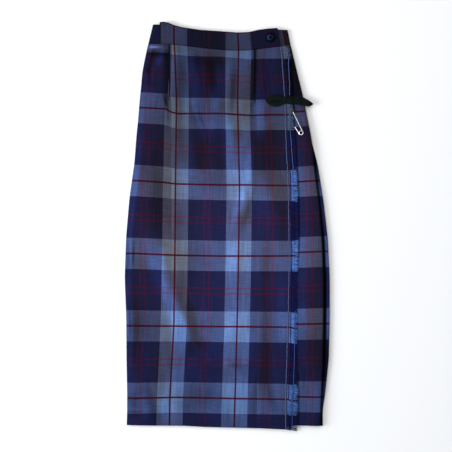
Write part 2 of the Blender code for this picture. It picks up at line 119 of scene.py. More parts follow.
# The edges and folds of the layers, as places across at each drop, and how thick they roll
EDGES = np.array([
    # drop, left, apron, upper, lower, panel, roll, outer, outer_roll
    (55, -174, 122, 131.5, 138.5, 140.5, 0.75, 138.5, 0.75),
    (84, -180.5, 124, 133, 140, 147.5, 1.2, 145.5, 0.75),
    (117, -187, 127, 135, 142.5, 155, 1.6, 153, 0.75),
    (150, -189.5, 130, 137, 143.5, 163.5, 2, 161.5, 0.75),
    (166, -191.5, 131, 137.5, 144, 167, 2.2, 165, 0.75),
    (183, -193, 132, 138.5, 145, 170.5, 2.4, 168.5, 0.75),
    (216, -195.5, 133, 139, 146, 177, 2.8, 175, 0.75),
    (260, -200, 134, 140, 150, 186, 3.3, 185, 0.75),
    (287, -202, 135.5, 141.5, 151.5, 188.5, 3.6, 192, 1.2),
    (315, -204, 137, 143.5, 153, 191, 4, 199, 2.4),
    (392, -215, 140, 147, 156.5, 201.5, 4, 211.5, 3.3),
    (480, -222.5, 141, 148, 157.5, 209, 4, 221.5, 3.3),
    (568, -225.5, 140, 148, 153.5, 212, 4, 225.5, 3.3),
    (656, -222, 137, 148.5, 153.5, 212, 4, 225.5, 3.3),
    (744, -221.5, 134.5, 147, 153.5, 210.5, 4, 223.5, 3.3),
    (821, -220, 132, 142, 155.5, 207.5, 4, 215.5, 2.8),
    (858, -220, 132, 141.5, 155, 206, 3.8, 210, 1.3),
    (891, -221, 132, 141, 154.5, 204.5, 3.6, 210.5, 0.9),
])
LEFT, APRON, UPPER, LOWER, PANEL, ROLL, OUTER, OUTER_ROLL = range(1, 9)
FIRST_PLEAT, LAST_PLEAT, PLEAT_COUNT = 1, 2, 13
PLEATS = np.array([
    # drop, first, last
    (55, -160, 104), (216, -181, 140), (392, -199, 165),
    (568, -211, 176), (744, -207.5, 174.5), (891, -207, 168),
])
# Drops along the waistband's seam and the two hems, from left to right
SEAM = np.array([
    (-173, 48.5), (-146, 49), (-110, 51.3), (-85, 54), (-60, 57.2), (-35, 60), (-10, 62.1),
    (15, 63.3), (40, 63), (60, 61.6), (90, 57.8), (116, 54.3), (141, 54),
])
HEM = np.array([
    (-221, 886), (-179, 887), (-95, 887.5), (-51, 890), (72, 893), (136, 896), (156, 896),
])
BACK_HEM = np.array([(-221, 884.5), (-95, 885), (150, 887), (211, 888)])
DART_COVER = np.array([(55, 10.5), (84, 9.5), (117, 7.5), (150, 4.5), (166, 0.4), (890, 0.4)])

# Where the threads of the front run: across, the middle of the left twin reds, the two dark
# reds and the middle of the right twin reds; down, the five dark reds at places across
WARP_LINES = np.array([
    # drop, left_twin, red_one, red_two, right_twin
    (55, -164.6, -116, 25, 76.8), (110, -168.5, -113.5, 24, 80),
    (171, -172.8, -111.5, 22.9, 86.1), (260, -177, -112.5, 25, 90.5),
    (358, -181, -113.7, 27.1, 94.1), (512, -184, -114.8, 24.9, 94.1),
    (669, -189.1, -117, 21.6, 90.5), (827, -195.5, -125.8, 17.2, 85.7),
    (887, -197.9, -126.9, 15.4, 85.7),
])
WEFT_LINES = np.array([
    # across, then the drop of each dark red
    (-200, 188.1, 348.9, 509.1, 668.1, 827.2),
    (-137, 191.4, 353.1, 511.9, 668.6, 825.7),
    (-113, 202.2, 356.4, 513, 668.8, 825),
    (-16, 201.7, 358.6, 514.8, 669.7, 827.2),
    (50, 206, 358.6, 514.8, 670, 828.3),
    (94, 204.6, 359.7, 514.8, 670.6, 829),
    (138, 204.6, 360.1, 514.4, 671, 829.4),
])
# How much further up the threads reach into the waistband right of the first dart
WAIST_EASE = np.array([(-124, 9.5), (-82, 4.8), (-3, 2.2), (60, 1.0)])


def smooth(value):
    value = np.clip(value, 0.0, 1.0)
    return value * value * (3.0 - 2.0 * value)


def edge_at(number, drops, table=EDGES):
    """A column's value at each drop, with the corners of its line rounded off."""
    rows, line = table[:, 0], table[:, number]
    past = 60.0
    low = line[0] - (line[1] - line[0]) / (rows[1] - rows[0]) * past
    high = line[-1] + (line[-1] - line[-2]) / (rows[-1] - rows[-2]) * past
    rows = np.concatenate(([rows[0] - past], rows, [rows[-1] + past]))
    line = np.concatenate(([low], line, [high]))
    near = [np.interp(np.asarray(drops) + step, rows, line) for step in np.linspace(-14, 14, 9)]
    return np.mean(near, axis=0)


def lay_down(across, drops, top_edge, low_edge):
    """The drop of each cloth point, its rows spread between a top and a low edge curve."""
    top = np.interp(across, top_edge[:, 0], top_edge[:, 1]) + 0.5
    low = np.interp(across, low_edge[:, 0], low_edge[:, 1])
    return top + (drops - SEAM_DROP) / (HEM_DROP - SEAM_DROP) * (low - top)


def half_turn(centre_x, centre_z, radius, start, end, steps):
    """Points round an arc of a section, one pair of arrays each."""
    turns = [math.radians(start + (end - start) * step / steps) for step in range(steps + 1)]
    return [(centre_x + radius * math.cos(t), centre_z + radius * math.sin(t)) for t in turns]


def panel_height(across, drops):
    roll = edge_at(ROLL, drops)
    fold = edge_at(PANEL, drops) - FLOOR_LAYER - roll
    rise = smooth((across - fold) / (12 * roll) + 1.0)
    return UNDER_LEVEL + (PLEAT_TOP + 2 * roll - UNDER_LEVEL) * rise


def lower_fringe_height(across, drops):
    start, end = edge_at(APRON, drops) - 5.0, edge_at(LOWER, drops)
    low, high = panel_height(start, drops) + 1.3, panel_height(end, drops) + 1.3
    return low + (high - low) * np.clip((across - start) / (end - start), 0.0, 1.0)


# Folds and creases pressed into the apron: two ends, height and half width
APRON_FOLDS = (
    # across, drop, across, drop, height, half_width
    (-76, 60, -66, 205, 2.2, 17), (6, 75, -2, 200, 2.2, 16), (-34, 150, -30, 215, 1, 14),
    (26, 325, 46, 425, 1.9, 14), (34, 420, 20, 520, 1, 12), (-141, 500, -118, 640, 1.9, 16),
    (-96, 560, -84, 660, -0.9, 14), (-73, 705, -46, 725, 1.5, 11), (0, 745, 40, 780, 1.5, 11),
    (-218, 855, -173, 859, 1.3, 6), (-178, 830, -160, 880, -1.1, 12), (-165, 300, -160, 480, 1, 20),
    (70, 560, 76, 700, 1, 20), (-40, 400, -34, 470, 0.9, 16), (-210, 400, -213, 640, 1.1, 3),
    (-214, 490, -213, 548, -1.2, 2.2), (64, 90, 68, 250, 1.4, 12), (104, 600, 108, 800, 0.8, 10),
    (-150, 730, -158, 870, 0.9, 16), (-20, 830, -10, 885, 0.9, 18), (40, 600, 48, 690, 0.8, 9),
    (-186, 690, -190, 780, 0.8, 12), (-172, 75, -168, 125, -2, 9), (-110, 190, -106, 330, 0.8, 13),
)


def fold_height(across, drops, folds):
    """The rise of soft ridges and troughs laid along straight lines, with rounded ends."""
    total = np.zeros(np.broadcast(across, drops).shape)
    for x_start, drop_start, x_end, drop_end, height, half_width in folds:
        length = math.hypot(x_end - x_start, drop_end - drop_start)
        ahead_x, ahead_d = (x_end - x_start) / length, (drop_end - drop_start) / length
        ahead = (across - x_start) * ahead_x + (drops - drop_start) * ahead_d
        aside = np.abs((across - x_start) * ahead_d - (drops - drop_start) * ahead_x)
        past = np.maximum(0.0, np.maximum(-ahead, ahead - length))
        past = past / (1.6 * half_width + 8.0)
        total += height * smooth(1.0 - np.hypot(aside / half_width, past))
    return total


def ripple(across, drops):
    """The unevenness that handled cloth keeps: long shallow waves, never the same twice."""
    wave = 0.22 * np.sin(across / 17.0 + np.sin(drops / 61.0) * 1.4)
    wave += 0.20 * np.sin(drops / 23.0 + np.sin(across / 47.0 + 1.1) * 1.9)
    wave += 0.14 * np.sin((across * 0.8 + drops) / 11.3 + np.sin(drops / 38.0) * 2.2)
    return 0.45 + wave


def apron_height(across, drops):
    edge = edge_at(APRON, drops)
    level = APRON_LEVEL + np.maximum(
        panel_height(across, drops) - UNDER_LEVEL, 1.2 * smooth((SEAM_DROP - drops) / 28.0 + 1.0)
    )
    inside = smooth((drops - SEAM_DROP) / 20.0) * smooth((edge - across) / 12.0)
    level = level + (fold_height(across, drops, APRON_FOLDS) + ripple(across, drops)) * inside
    on_fringe = lower_fringe_height(across, drops) + 1.45
    return level + smooth((across - edge + 34.0) / 24.0) * np.maximum(0.0, on_fringe - level)


def warp_at(across, drops, zone):
    """The warp thread at a point of the front, counted in half repeats; zones lie between darts."""
    twin_one, red_one, red_two, twin_two = (edge_at(n, drops, WARP_LINES) for n in range(1, 5))
    left = (across - twin_one) / WARP_HALF
    middle = 1.0 + 2.0 * (across - red_one) / (red_two - red_one)
    right = 4.0 + (across - twin_two) / WARP_HALF
    before = 1.0 + (across - red_one) / (red_one - twin_one)
    after = 3.0 + (across - red_two) / (twin_two - red_two)
    if zone == 0:
        pinned, eased = left, before
    elif zone == 1:
        pinned = middle
        eased = np.where(across < red_one, before, np.where(across > red_two, after, middle))
    else:
        pinned, eased = right, np.where(across < twin_two, after, right)
    return pinned + (eased - pinned) * smooth((drops - DART_END) / DART_FADE)


def weft_at(across, drops, lines=WEFT_LINES, zone=None):
    """The weft thread at a point, counted in repeats from the red above the first one."""
    reds = [np.interp(across, lines[:, 0], lines[:, n]) for n in range(1, 6)]
    if zone is not None:
        part = lines[:2] if zone == 0 else lines[2:]
        share = 1.0 - smooth((drops - DART_END) / DART_FADE)
        side = [np.interp(across, part[:, 0], part[:, n]) for n in range(1, 6)]
        reds = [red + (own - red) * share for red, own in zip(reds, side)]
    eased = np.interp(across, WAIST_EASE[:, 0], WAIST_EASE[:, 1]) if zone else 0.0
    reds = [reds[0] - WEFT_REPEAT - eased] + reds + [reds[-1] + WEFT_REPEAT]
    count = np.minimum(0.0, (drops - reds[0]) / WEFT_REPEAT)
    for above, below in zip(reds, reds[1:]):
        count = count + np.clip((drops - above) / (below - above), 0.0, 1.0)
    return count


# Painted sheen: where the nap of the cloth turns to the light it is painted bluer, and where it
# turns away, greyer.
# A spot that slants has its lean as a sixth number.
PAINTED_SHEEN = (
    # across, drop, reach_across, reach_down, strength, lean
    # Soft folds below the waistband and over the hips
    (-71, 130, 12, 50, 0.9, 0.2), (-22, 134, 9, 44, 0.8, -0.05), (77, 156, 9, 60, 1, -0.12),
    (-64, 202, 9, 36, 1.2, 0.4), (-96, 60, 8, 14, 0.4), (-28, 168, 8, 34, 0.6),
    (-22, 70, 11, 14, -0.3), (50, 66, 8, 16, 0.6), (96, 130, 12, 60, 0.35, 0.05),
    (2, 262, 9, 60, 0.7), (-58, 280, 10, 50, -0.3, 0.1), (74, 232, 9, 34, 0.7),
    (-186, 130, 9, 70, 0.6, -0.2), (-196, 230, 12, 60, 0.5, -0.15), (-123, 92, 2.8, 44, 1),
    (-164, 60, 9, 5, 1.1), (-149, 88, 8, 18, 1, -0.3), (30, 84, 10, 24, 0.5),
    (-130, 112, 5, 60, -0.5), (-34, 110, 10, 36, -0.5, 0.1), (14, 150, 9, 50, -0.4),
    (60, 96, 7, 46, -0.6), (36, 224, 14, 34, -0.4), (94, 250, 16, 30, -0.5),
    (-140, 330, 26, 90, -0.5), (-110, 190, 18, 34, -0.4), (-80, 180, 7, 40, -0.4, 0.2),
    (-36, 222, 14, 18, 0.5), (-2, 112, 8, 34, 0.4), (-176, 156, 14, 40, 0.3),
    # The bright slant over the belly and the long sweep down the left
    (28, 320, 26, 30, 0.3), (-156, 550, 14, 46, 0.3, 0.2), (-114, 662, 18, 54, 0.3, 0.2),
    (-104, 790, 16, 34, 0.3), (-20, 706, 22, 28, 0.3), (38, 756, 16, 40, 0.3),
    (122, 632, 12, 60, 0.4), (86, 540, 12, 60, -0.25), (-196, 850, 20, 40, 0.5),
    (-165, 170, 20, 50, 0.35), (-56, 335, 26, 16, 0.35), (10, 300, 18, 40, 0.25),
    (28, 790, 18, 40, 0.3), (84, 400, 14, 40, 0.25), (122, 440, 10, 80, -0.3),
    (-104, 706, 16, 36, 0.5), (30, 672, 12, 26, -0.3), (-222, 560, 5, 200, 0.4),
    (-200, 850, 24, 40, 0.3), (34, 800, 18, 40, 0.3), (26, 750, 16, 14, -0.5),
    (10, 270, 16, 30, 0.3), (84, 540, 14, 60, -0.2), (84, 710, 9, 80, -0.4),
    # Smaller ones between them, bluer above 0 and greyer below it
    (-100, 80, 8, 26, 0.4), (10, 90, 12, 22, 0.4), (97, 66, 12, 16, 0.4), (-93, 172, 11, 36, 0.35),
    (-32, 232, 12, 26, 0.3), (36, 228, 8, 24, 0.4), (84, 155, 9, 28, 0.4), (-182, 750, 10, 60, 0.4),
    (-32, 722, 40, 18, 0.35, -0.4), (-106, 790, 20, 36, 0.3), (-30, 800, 26, 26, 0.3),
    (48, 728, 14, 22, 0.3), (110, 780, 9, 44, 0.4), (72, 838, 10, 36, 0.3),
    (-54, 370, 32, 16, 0.35), (-96, 326, 13, 22, 0.3), (18, 402, 7, 30, 0.3),
    (-212, 430, 8, 50, 0.4), (-126, 75, 9, 20, -0.3), (44, 160, 12, 36, -0.35),
    (-110, 250, 15, 24, -0.35), (-58, 300, 10, 44, -0.35), (20, 250, 8, 56, -0.35),
    (68, 284, 9, 34, -0.5), (92, 185, 9, 20, -0.3), (97, 352, 8, 28, -0.3),
    (28, 424, 18, 18, -0.35), (-120, 520, 20, 56, -0.3), (-80, 688, 11, 36, -0.4),
    (28, 540, 6, 80, -0.3), (-200, 660, 9, 130, -0.3), (-150, 790, 9, 66, -0.3),
    (46, 312, 10, 44, 1, -0.16), (26, 396, 8, 44, 0.8, -0.3), (-80, 300, 5, 50, 0.6),
    (-8, 180, 11, 14, -0.4), (-16, 308, 10, 30, -0.2), (62, 390, 12, 40, 0.3),
    (28, 470, 6, 40, 0.2, -0.2), (44, 410, 7, 40, -0.4, -0.3), (-139, 588, 14, 90, 0.6, 0.38),
    (-100, 606, 15, 90, -0.8, 0.36), (-124, 440, 24, 50, -0.4), (-38, 470, 22, 90, 0.1),
    (20, 600, 22, 90, 0.3), (-88, 690, 16, 44, 0.4, 0.3), (34, 520, 7, 60, -0.2),
    (6, 520, 9, 60, 0.3, 0.1), (-108, 660, 14, 50, 0.35, 0.3), (-64, 706, 26, 9, -0.3, -0.6),
    (-20, 742, 40, 14, 0.4, -0.5), (-74, 776, 38, 26, 0.4), (72, 756, 8, 80, -0.4),
    (-112, 530, 15, 34, -0.5), (36, 780, 22, 30, 0.9, -0.4), (8, 850, 22, 40, 0.3),
    (38, 854, 10, 30, 0.6), (0, 700, 26, 30, 0.5, -0.3), (-30, 850, 20, 40, 0.3),
    (112, 366, 16, 64, -0.5, 0.1), (-158, 850, 8, 34, -0.5, 0.3), (-136, 850, 8, 30, 0.5),
    (-208, 820, 12, 70, 0.8), (-60, 860, 60, 24, 0.3), (108, 850, 12, 40, 0.4),
    (-165, 850, 36, 36, 0.25), (-137, 540, 9, 40, 0.3, 0.3), (30, 650, 36, 34, 0.2),
    (-222, 430, 8, 110, 0.4), (36, 262, 8, 30, 0.3, -0.3), (-104, 62, 24, 12, -0.5),
    (-158, 420, 18, 50, -0.3), (-88, 540, 16, 60, -0.25), (60, 262, 8, 36, -0.25),
    (-76, 726, 16, 14, -0.4, -0.5), (4, 700, 24, 12, -0.3, -0.4), (84, 766, 18, 34, -0.25),
    (-16, 82, 18, 22, -0.3), (68, 196, 7, 30, 0.5, 0.3), (92, 285, 24, 30, -0.25),
    (72, 290, 12, 50, -0.3), (-10, 230, 14, 26, 0.3, 0.3), (-62, 238, 8, 30, 0.3, 0.3),
    (28, 290, 8, 40, 0.3), (-88, 304, 14, 26, -0.25), (-142, 520, 10, 30, 0.2, 0.2),
    (-150, 862, 60, 26, 0.25), (-48, 650, 14, 40, 0.25), (50, 700, 20, 24, 0.3, -0.3),
    (72, 612, 9, 44, -0.3), (118, 655, 12, 30, 0.3), (36, 856, 12, 24, 0.3),
    (88, 850, 16, 20, 0.25), (-80, 112, 6, 36, 0.4), (-42, 118, 8, 38, -0.3, 0.1),
    (-130, 690, 12, 60, -0.3), (-186, 540, 12, 30, -0.2), (118, 640, 10, 70, 0.3),
)

# Hollows and the shaded sides of folds, where the cloth lies in its own shadow: painted shade. A
# negative strength paints a highlight instead.
HOLLOWS = (
    # across, drop, reach_across, reach_down, strength, lean
    (-150, 76, 22, 8, 0.8), (-132, 118, 6, 56, 1), (-160, 61.7, 13, 1.8, -2.4),
    (-167, 92, 4, 24, 0.6, -0.15), (-176, 112, 6, 7, 0.5), (-136, 178, 4, 18, 0.55, 0.25),
    (59, 92, 8, 46, 0.62, 0.03), (54.5, 112, 2.6, 70, 0.7), (-34, 110, 10, 40, 0.5, 0.14),
    (14, 140, 7, 60, 0.4, -0.1), (84, 130, 9, 50, 0.2, 0.05), (-100, 120, 14, 66, 0.4),
    (-178, 140, 22, 7, 0.25), (-112, 240, 20, 90, 0.28), (-56, 214, 4, 34, 0.35, 0.3),
    (-50, 84, 30, 12, 0.35), (-146, 370, 34, 60, 0.28), (-180, 330, 26, 30, 0.2),
    (-176, 670, 34, 50, 0.3), (88, 670, 22, 50, 0.2), (-166, 850, 9, 46, 0.5, 0.25),
    (-66, 700, 24, 7, 0.14, -0.6), (40, 756, 26, 7, 0.28, -0.5), (-206, 520, 2.4, 34, 0.6),
    (-214, 640, 2, 70, 0.4), (-84, 715, 5, 16, 0.35, -0.3), (-60, 700, 22, 5, -0.12, -0.5),
    (-197, 856, 20, 1.6, -0.6, 0.04), (-218, 530, 7, 50, 0.45), (-196, 860, 24, 2.4, 0.35, 0.04),
    (-92, 634, 14, 76, 0.18, 0.4), (88, 150, 20, 40, 0.15), (42, 420, 7, 40, 0.3, -0.3),
    (96, 820, 10, 50, 0.35, 0.3), (-60, 830, 34, 40, 0.2), (-30, 350, 20, 26, 0.18),
    (86, 350, 18, 60, 0.15), (-60, 520, 26, 30, 0.12), (80, 520, 22, 34, 0.14),
    (24, 590, 8, 50, 0.12), (-202, 680, 16, 60, 0.2), (-204, 856, 14, 26, 0.25),
    (28, 395, 26, 40, -0.12), (28, 512, 26, 34, -0.14), (0, 870, 14, 30, 0.15),
    (62, 830, 12, 40, 0.2), (-70, 210, 8, 30, 0.3, 0.2), (-208, 760, 24, 90, 0.15),
    (-115, 440, 22, 46, 0.15), (22, 768, 18, 8, 0.15), (-45, 430, 40, 60, -0.12),
    (90, 420, 30, 60, -0.16), (-45, 590, 36, 50, -0.12), (-150, 420, 60, 50, 0.1),
    (-131, 215, 6, 40, 0.3), (-205, 660, 20, 40, 0.1), (-206, 830, 18, 24, 0.2),
    (-60, 212, 60, 6, 0.1), (84, 204, 34, 6, 0.15), (96, 570, 30, 60, -0.08),
    (50, 470, 100, 130, -0.09), (0, 836, 200, 46, 0.06), (-115, 760, 18, 56, 0.22),
    (-149, 90, 7, 15, -0.6, -0.3), (-38, 812, 10, 22, 0.25), (70, 806, 8, 26, 0.3),
    (-190, 815, 10, 16, 0.15), (-100, 850, 14, 16, 0.2), (80, 375, 9, 40, -0.12),
    (-8, 640, 12, 60, -0.1), (-126, 166, 9, 20, 0.22), (-140, 215, 34, 9, 0.1),
    (-118, 772, 8, 20, 0.18), (71, 838, 7, 18, 0.18), (44, 326, 9, 30, -0.12, -0.2),
    (18, 668, 24, 12, -0.1),
)


def spots_at(spots, across, drops):
    """The sum of soft spots; one without a lean stands upright."""
    total = 0.0 * (across + drops)
    for x, d, reach_x, reach_d, strength, *lean in spots:
        aside = (across - x - sum(lean) * (drops - d)) / reach_x
        total = total + strength * np.exp(-aside * aside - ((drops - d) / reach_d) ** 2)
    return total


def painted_sheen_at(across, drops):
    # The painted sheen rises towards the lower right, and the listed spots add to it.
    over = smooth((across + 120.0) / 120.0)
    level = 0.30 + (0.08 + 0.20 * over) * smooth((drops - 300.0) / 260.0)
    return level + spots_at(PAINTED_SHEEN, across, drops)


def shade_at(drops):
    """The hips lie highest and catch the most light; the waist and the hem fall off."""
    marks, levels = (55, 160, 300, 400, 620, 760, 891), (0.56, 0.62, 0.80, 0.97, 0.93, 0.76, 0.68)
    return np.interp(drops, marks, levels)


def cloth_sheet(name, across, drops, heights, warp, weft, painted_sheen, shade, wall=CLOTH):
    """A sheet of cloth on a grid of points, its threads in its UV map, its painted sheen and painted
    shade in a tone.
    """
    rows, columns = across.shape
    bpy.ops.mesh.primitive_grid_add(x_subdivisions=columns - 1, y_subdivisions=rows - 1, size=1.0)
    sheet = bpy.context.object
    sheet.name = name
    mesh = sheet.data
    mesh.name = name
    points = np.stack((across * MM, (TOP - drops) * MM, heights * MM), axis=-1)
    mesh.vertices.foreach_set("co", points.reshape(-1).astype(np.float32))
    corner = np.empty(len(mesh.loops), dtype=np.int32)
    mesh.loops.foreach_get("vertex_index", corner)
    threads = np.stack((warp.reshape(-1)[corner], weft.reshape(-1)[corner]), axis=-1)
    mesh.uv_layers.active.name = "threads"
    mesh.uv_layers["threads"].uv.foreach_set("vector", threads.reshape(-1).astype(np.float32))
    tone = mesh.attributes.new("tone", "FLOAT_COLOR", "POINT")
    ones = np.ones_like(painted_sheen)
    shades = np.broadcast_to(shade, painted_sheen.shape)
    values = np.stack((np.clip(painted_sheen, 0.0, 1.2), shades, ones, ones), axis=-1)
    tone.data.foreach_set("color", values.reshape(-1).astype(np.float32))
    mesh.update()
    wall_maker = sheet.modifiers.new("Wall", "SOLIDIFY")
    wall_maker.thickness = wall * MM
    wall_maker.offset = 0.0
    bpy.ops.object.modifier_apply(modifier="Wall")
    bpy.ops.object.shade_smooth_by_angle(angle=math.radians(70))
    bpy.ops.object.select_all(action="DESELECT")
    return sheet


def join_columns(columns):
    """The places across and the heights of a sheet, from its columns of points."""
    return [np.stack([column[part] for column in columns], axis=1) for part in (0, 1)]


def run_along(across, heights):
    """How far the cloth has run at each column of its section."""
    run = np.hypot(np.diff(across, axis=1), np.diff(heights, axis=1))
    return np.concatenate((np.zeros((len(across), 1)), np.cumsum(run, axis=1)), axis=1)


class Finish:
    """A material in the making, with the kinds of node that the kilt's finishes share."""

    def __init__(self, name, surface):
        self.material = bpy.data.materials.new(name)
        self.material.use_nodes = True
        self.tree = self.material.node_tree
        self.shader = self.tree.nodes["Principled BSDF"]
        for socket, value in surface.items():
            self.shader.inputs[socket].default_value = value

    def feed(self, socket, value):
        """Wire another node's output to a socket, or set a plain value on it."""
        if hasattr(value, "is_output"):
            self.tree.links.new(value, socket)
        else:
            socket.default_value = value

    def add(self, kind, inputs, **settings):
        """A node, with its inputs given by name or number."""
        node = self.tree.nodes.new("ShaderNode" + kind)
        for setting, value in settings.items():
            setattr(node, setting, value)
        for socket, value in inputs.items():
            self.feed(node.inputs[socket], value)
        return node

    def place(self):
        return self.add("TexCoord", {}).outputs["Object"]

    def calc(self, operation, *values):
        return self.add("Math", dict(enumerate(values)), operation=operation).outputs[0]

    def blend(self, share, one, two, kind="MIX"):
        inputs = {0: share, 6: one, 7: two}
        return self.add("Mix", inputs, data_type="RGBA", blend_type=kind).outputs[2]

    def stripe(self, count, middle, half):
        """1 within a half width of the middle, once in every repeat of the count."""
        place = self.calc("FRACT", self.calc("ADD", count, 10.5 - middle))
        return self.calc("LESS_THAN", self.calc("ABSOLUTE", self.calc("SUBTRACT", place, 0.5)), half)

    def noise(self, place, scale, detail=2.0):
        inputs = {"Vector": place, "Scale": scale, "Detail": detail}
        return self.add("TexNoise", inputs).outputs["Fac"]

    def ranged(self, value, start, end, low, high):
        limits = {"From Min": start, "From Max": end, "To Min": low, "To Max": high}
        return self.add("MapRange", {"Value": value, **limits}).outputs[0]

    def ramp(self, share, *ends):
        """A colour ramp between two ends, each a position and a colour."""
        node = self.add("ValToRGB", {"Fac": share})
        for element, (position, color) in zip(node.color_ramp.elements, ends):
            element.position = position
            element.color = color
        return node

    def color(self, value):
        self.feed(self.shader.inputs["Base Color"], value)

    def bump(self, height, strength, distance):
        node = self.add("Bump", {"Height": height, "Strength": strength, "Distance": distance})
        self.feed(self.shader.inputs["Normal"], node.outputs[0])


PALE_YARN = (0.108, 0.115, 0.155, 1.0)
NAVY_YARN = (0.0108, 0.0090, 0.0262, 1.0)
RED_YARN = (0.075, 0.0015, 0.006, 1.0)
RED_ON_PALE = (0.15, 0.009, 0.018, 1.0)
DARK_RED_YARN = (0.046, 0.0008, 0.006, 1.0)
# The stripes of one repeat: middles and half widths, as shares of it
PALE_WARP_HALF, PALE_WEFT_HALF = 0.2019, 0.2148
WARP_RED_HALF, WEFT_RED_HALF, TWIN_HALF = 0.0128, 0.0130, 0.0112
WARP_TWINS, WEFT_TWINS = (0.0418, -0.0418), (0.4613, 0.5387)


def tartan(name):
    """The woven cloth: warp and weft stripes read from the threads, crossed in a twill."""
    cloth = Finish(name, {
        "Roughness": 0.8, "Specular IOR Level": 0.05, "Sheen Weight": 0.03,
        "Sheen Roughness": 0.4, "Sheen Tint": (0.35, 0.45, 0.9, 1.0),
    })
    calc, blend, stripe = cloth.calc, cloth.blend, cloth.stripe
    threads = cloth.add("UVMap", {}, uv_map="threads").outputs["UV"]
    counts = cloth.add("SeparateXYZ", {0: threads}).outputs
    warp, weft = calc("MULTIPLY", counts[0], 0.5), counts[1]

    pale_warp, pale_weft = stripe(warp, 0.5, PALE_WARP_HALF), stripe(weft, 0.0, PALE_WEFT_HALF)
    warp_color = blend(pale_warp, NAVY_YARN, PALE_YARN)
    weft_color = blend(pale_weft, NAVY_YARN, PALE_YARN)
    all_pale = calc("MULTIPLY", pale_warp, pale_weft)
    half_pale = calc("ABSOLUTE", calc("SUBTRACT", pale_warp, pale_weft))
    crossed = blend(all_pale, (0.97, 0.97, 0.97, 1.0), (1.07, 1.11, 1.09, 1.0))
    crossed = blend(half_pale, crossed, (0.94, 0.88, 0.96, 1.0))
    warp_red = stripe(warp, 0.5, WARP_RED_HALF)
    weft_red = stripe(weft, 0.0, WEFT_RED_HALF)
    warp_twin = calc("MAXIMUM", *(stripe(warp, middle, TWIN_HALF) for middle in WARP_TWINS))
    weft_twin = calc("MAXIMUM", *(stripe(weft, middle, TWIN_HALF) for middle in WEFT_TWINS))
    red = blend(half_pale, RED_YARN, RED_ON_PALE)

    # The twill's diagonal, from rib to rib
    across = calc("MULTIPLY", counts[0], WARP_HALF / TWILL_RIB)
    along = calc("MULTIPLY", counts[1], WEFT_REPEAT / TWILL_RIB)
    rib = calc("SINE", calc("MULTIPLY", calc("ADD", across, along), 2 * math.pi))
    over = calc("MULTIPLY_ADD", rib, 0.16, 0.52)
    color = blend(over, weft_color, warp_color)
    strength = calc("MULTIPLY_ADD", rib, 0.05, 0.95)
    faint = calc("MULTIPLY_ADD", rib, 0.12, 0.42)
    for line, share, line_color in ((weft_twin, faint, red), (warp_twin, faint, red),
                                    (weft_red, strength, DARK_RED_YARN),
                                    (warp_red, strength, DARK_RED_YARN)):
        color = blend(calc("MULTIPLY", line, share), color, line_color)

    # Uneven yarns: streaks along the warp and, fainter, along the weft
    def streaks(stretch, low, high):
        placed = cloth.add("Mapping", {"Scale": stretch, "Vector": threads}).outputs[0]
        return cloth.ranged(cloth.noise(placed, 1.0, 3.0), 0.3, 0.7, low, high)

    yarn = calc(
        "MULTIPLY", streaks((38.0, 2.6, 1.0), 0.8, 1.2), streaks((2.2, 76.0, 1.0), 0.84, 1.16)
    )
    # The tone attribute carries painted light: its first channel a painted sheen that tints the
    # cloth bluer, its second a painted shade that darkens it, together with the yarns' own streaks.
    tone = cloth.add("Attribute", {}, attribute_name="tone").outputs["Color"]
    painted_sheen_and_shade = cloth.add("SeparateColor", {0: tone}).outputs
    painted_sheen_tint = blend(painted_sheen_and_shade[0], (1.0, 1.0, 1.0, 1.0), (1.25, 1.95, 3.2, 1.0))
    dim = calc("MULTIPLY", yarn, painted_sheen_and_shade[1])
    grey = cloth.add("CombineColor", {channel: dim for channel in range(3)}).outputs[0]
    for tint in (painted_sheen_tint, crossed, grey):
        color = blend(1.0, color, tint, "MULTIPLY")
    cloth.color(color)
    cloth.bump(calc("ADD", rib, streaks((140.0, 200.0, 1.0), -0.4, 0.4)), 0.35, 0.0003)
    return cloth.material


tartan_cloth = tartan("tartan_twill")

rows = np.linspace(SEAM_DROP, HEM_DROP, 250)
down = rows[:, None]
left = edge_at(LEFT, rows)
edge = edge_at(APRON, rows)
# The side: the cloth comes from under the back, turns in a soft half round and rises again
SIDE_RADIUS = 2.4
SIDE_CENTRE = FLOOR_LAYER + SIDE_RADIUS
SIDE_TOP = SIDE_CENTRE + SIDE_RADIUS
flat = 0 * rows
centre = left + SIDE_CENTRE
crease = left + 13.0
columns = [(edge_at(FIRST_PLEAT, rows, PLEATS) - 0.3, FLOOR_LAYER + flat)]
columns.append((left + 12.0, FLOOR_LAYER + flat))
columns += half_turn(centre, SIDE_CENTRE + flat, SIDE_RADIUS, 270, 90, 10)
for share in (0.25, 0.5, 0.75, 1.0):
    place = centre + (crease - centre) * share
    columns.append((place, SIDE_TOP + (apron_height(place, rows) - SIDE_TOP) * smooth(share)))
turned = len(columns)
# The zone of each column: 0, 1 and 2 for the flat cloth between darts, more by 0.1 in a dart.
# The tenth of a dart's 13 columns ends its second turn, and the eighth lies furthest left.
zones = [0] * turned
IN_DART = 0.1
DART_COLUMNS = 13
SECOND_TURN = 9
LEFT_OF_TURN = 7


def open_field(start, end, steps, zone, dart=None):
    """Even columns of flat cloth between two places; right of a dart they ease down from it."""
    for step in range(1, steps + 1):
        place = start + (end - start) * step / (steps + 1)
        height = apron_height(place, rows)
        if dart is not None:
            past = place - dart - edge_at(1, rows, DART_COVER) - 3.0
            rest = 1.0 - smooth((rows - DART_END) / 33.0)
            height = height + 2 * LAYER * rest * (1.0 - smooth(past / 26.0))
        columns.append((place + flat, height))
        zones.append(zone)


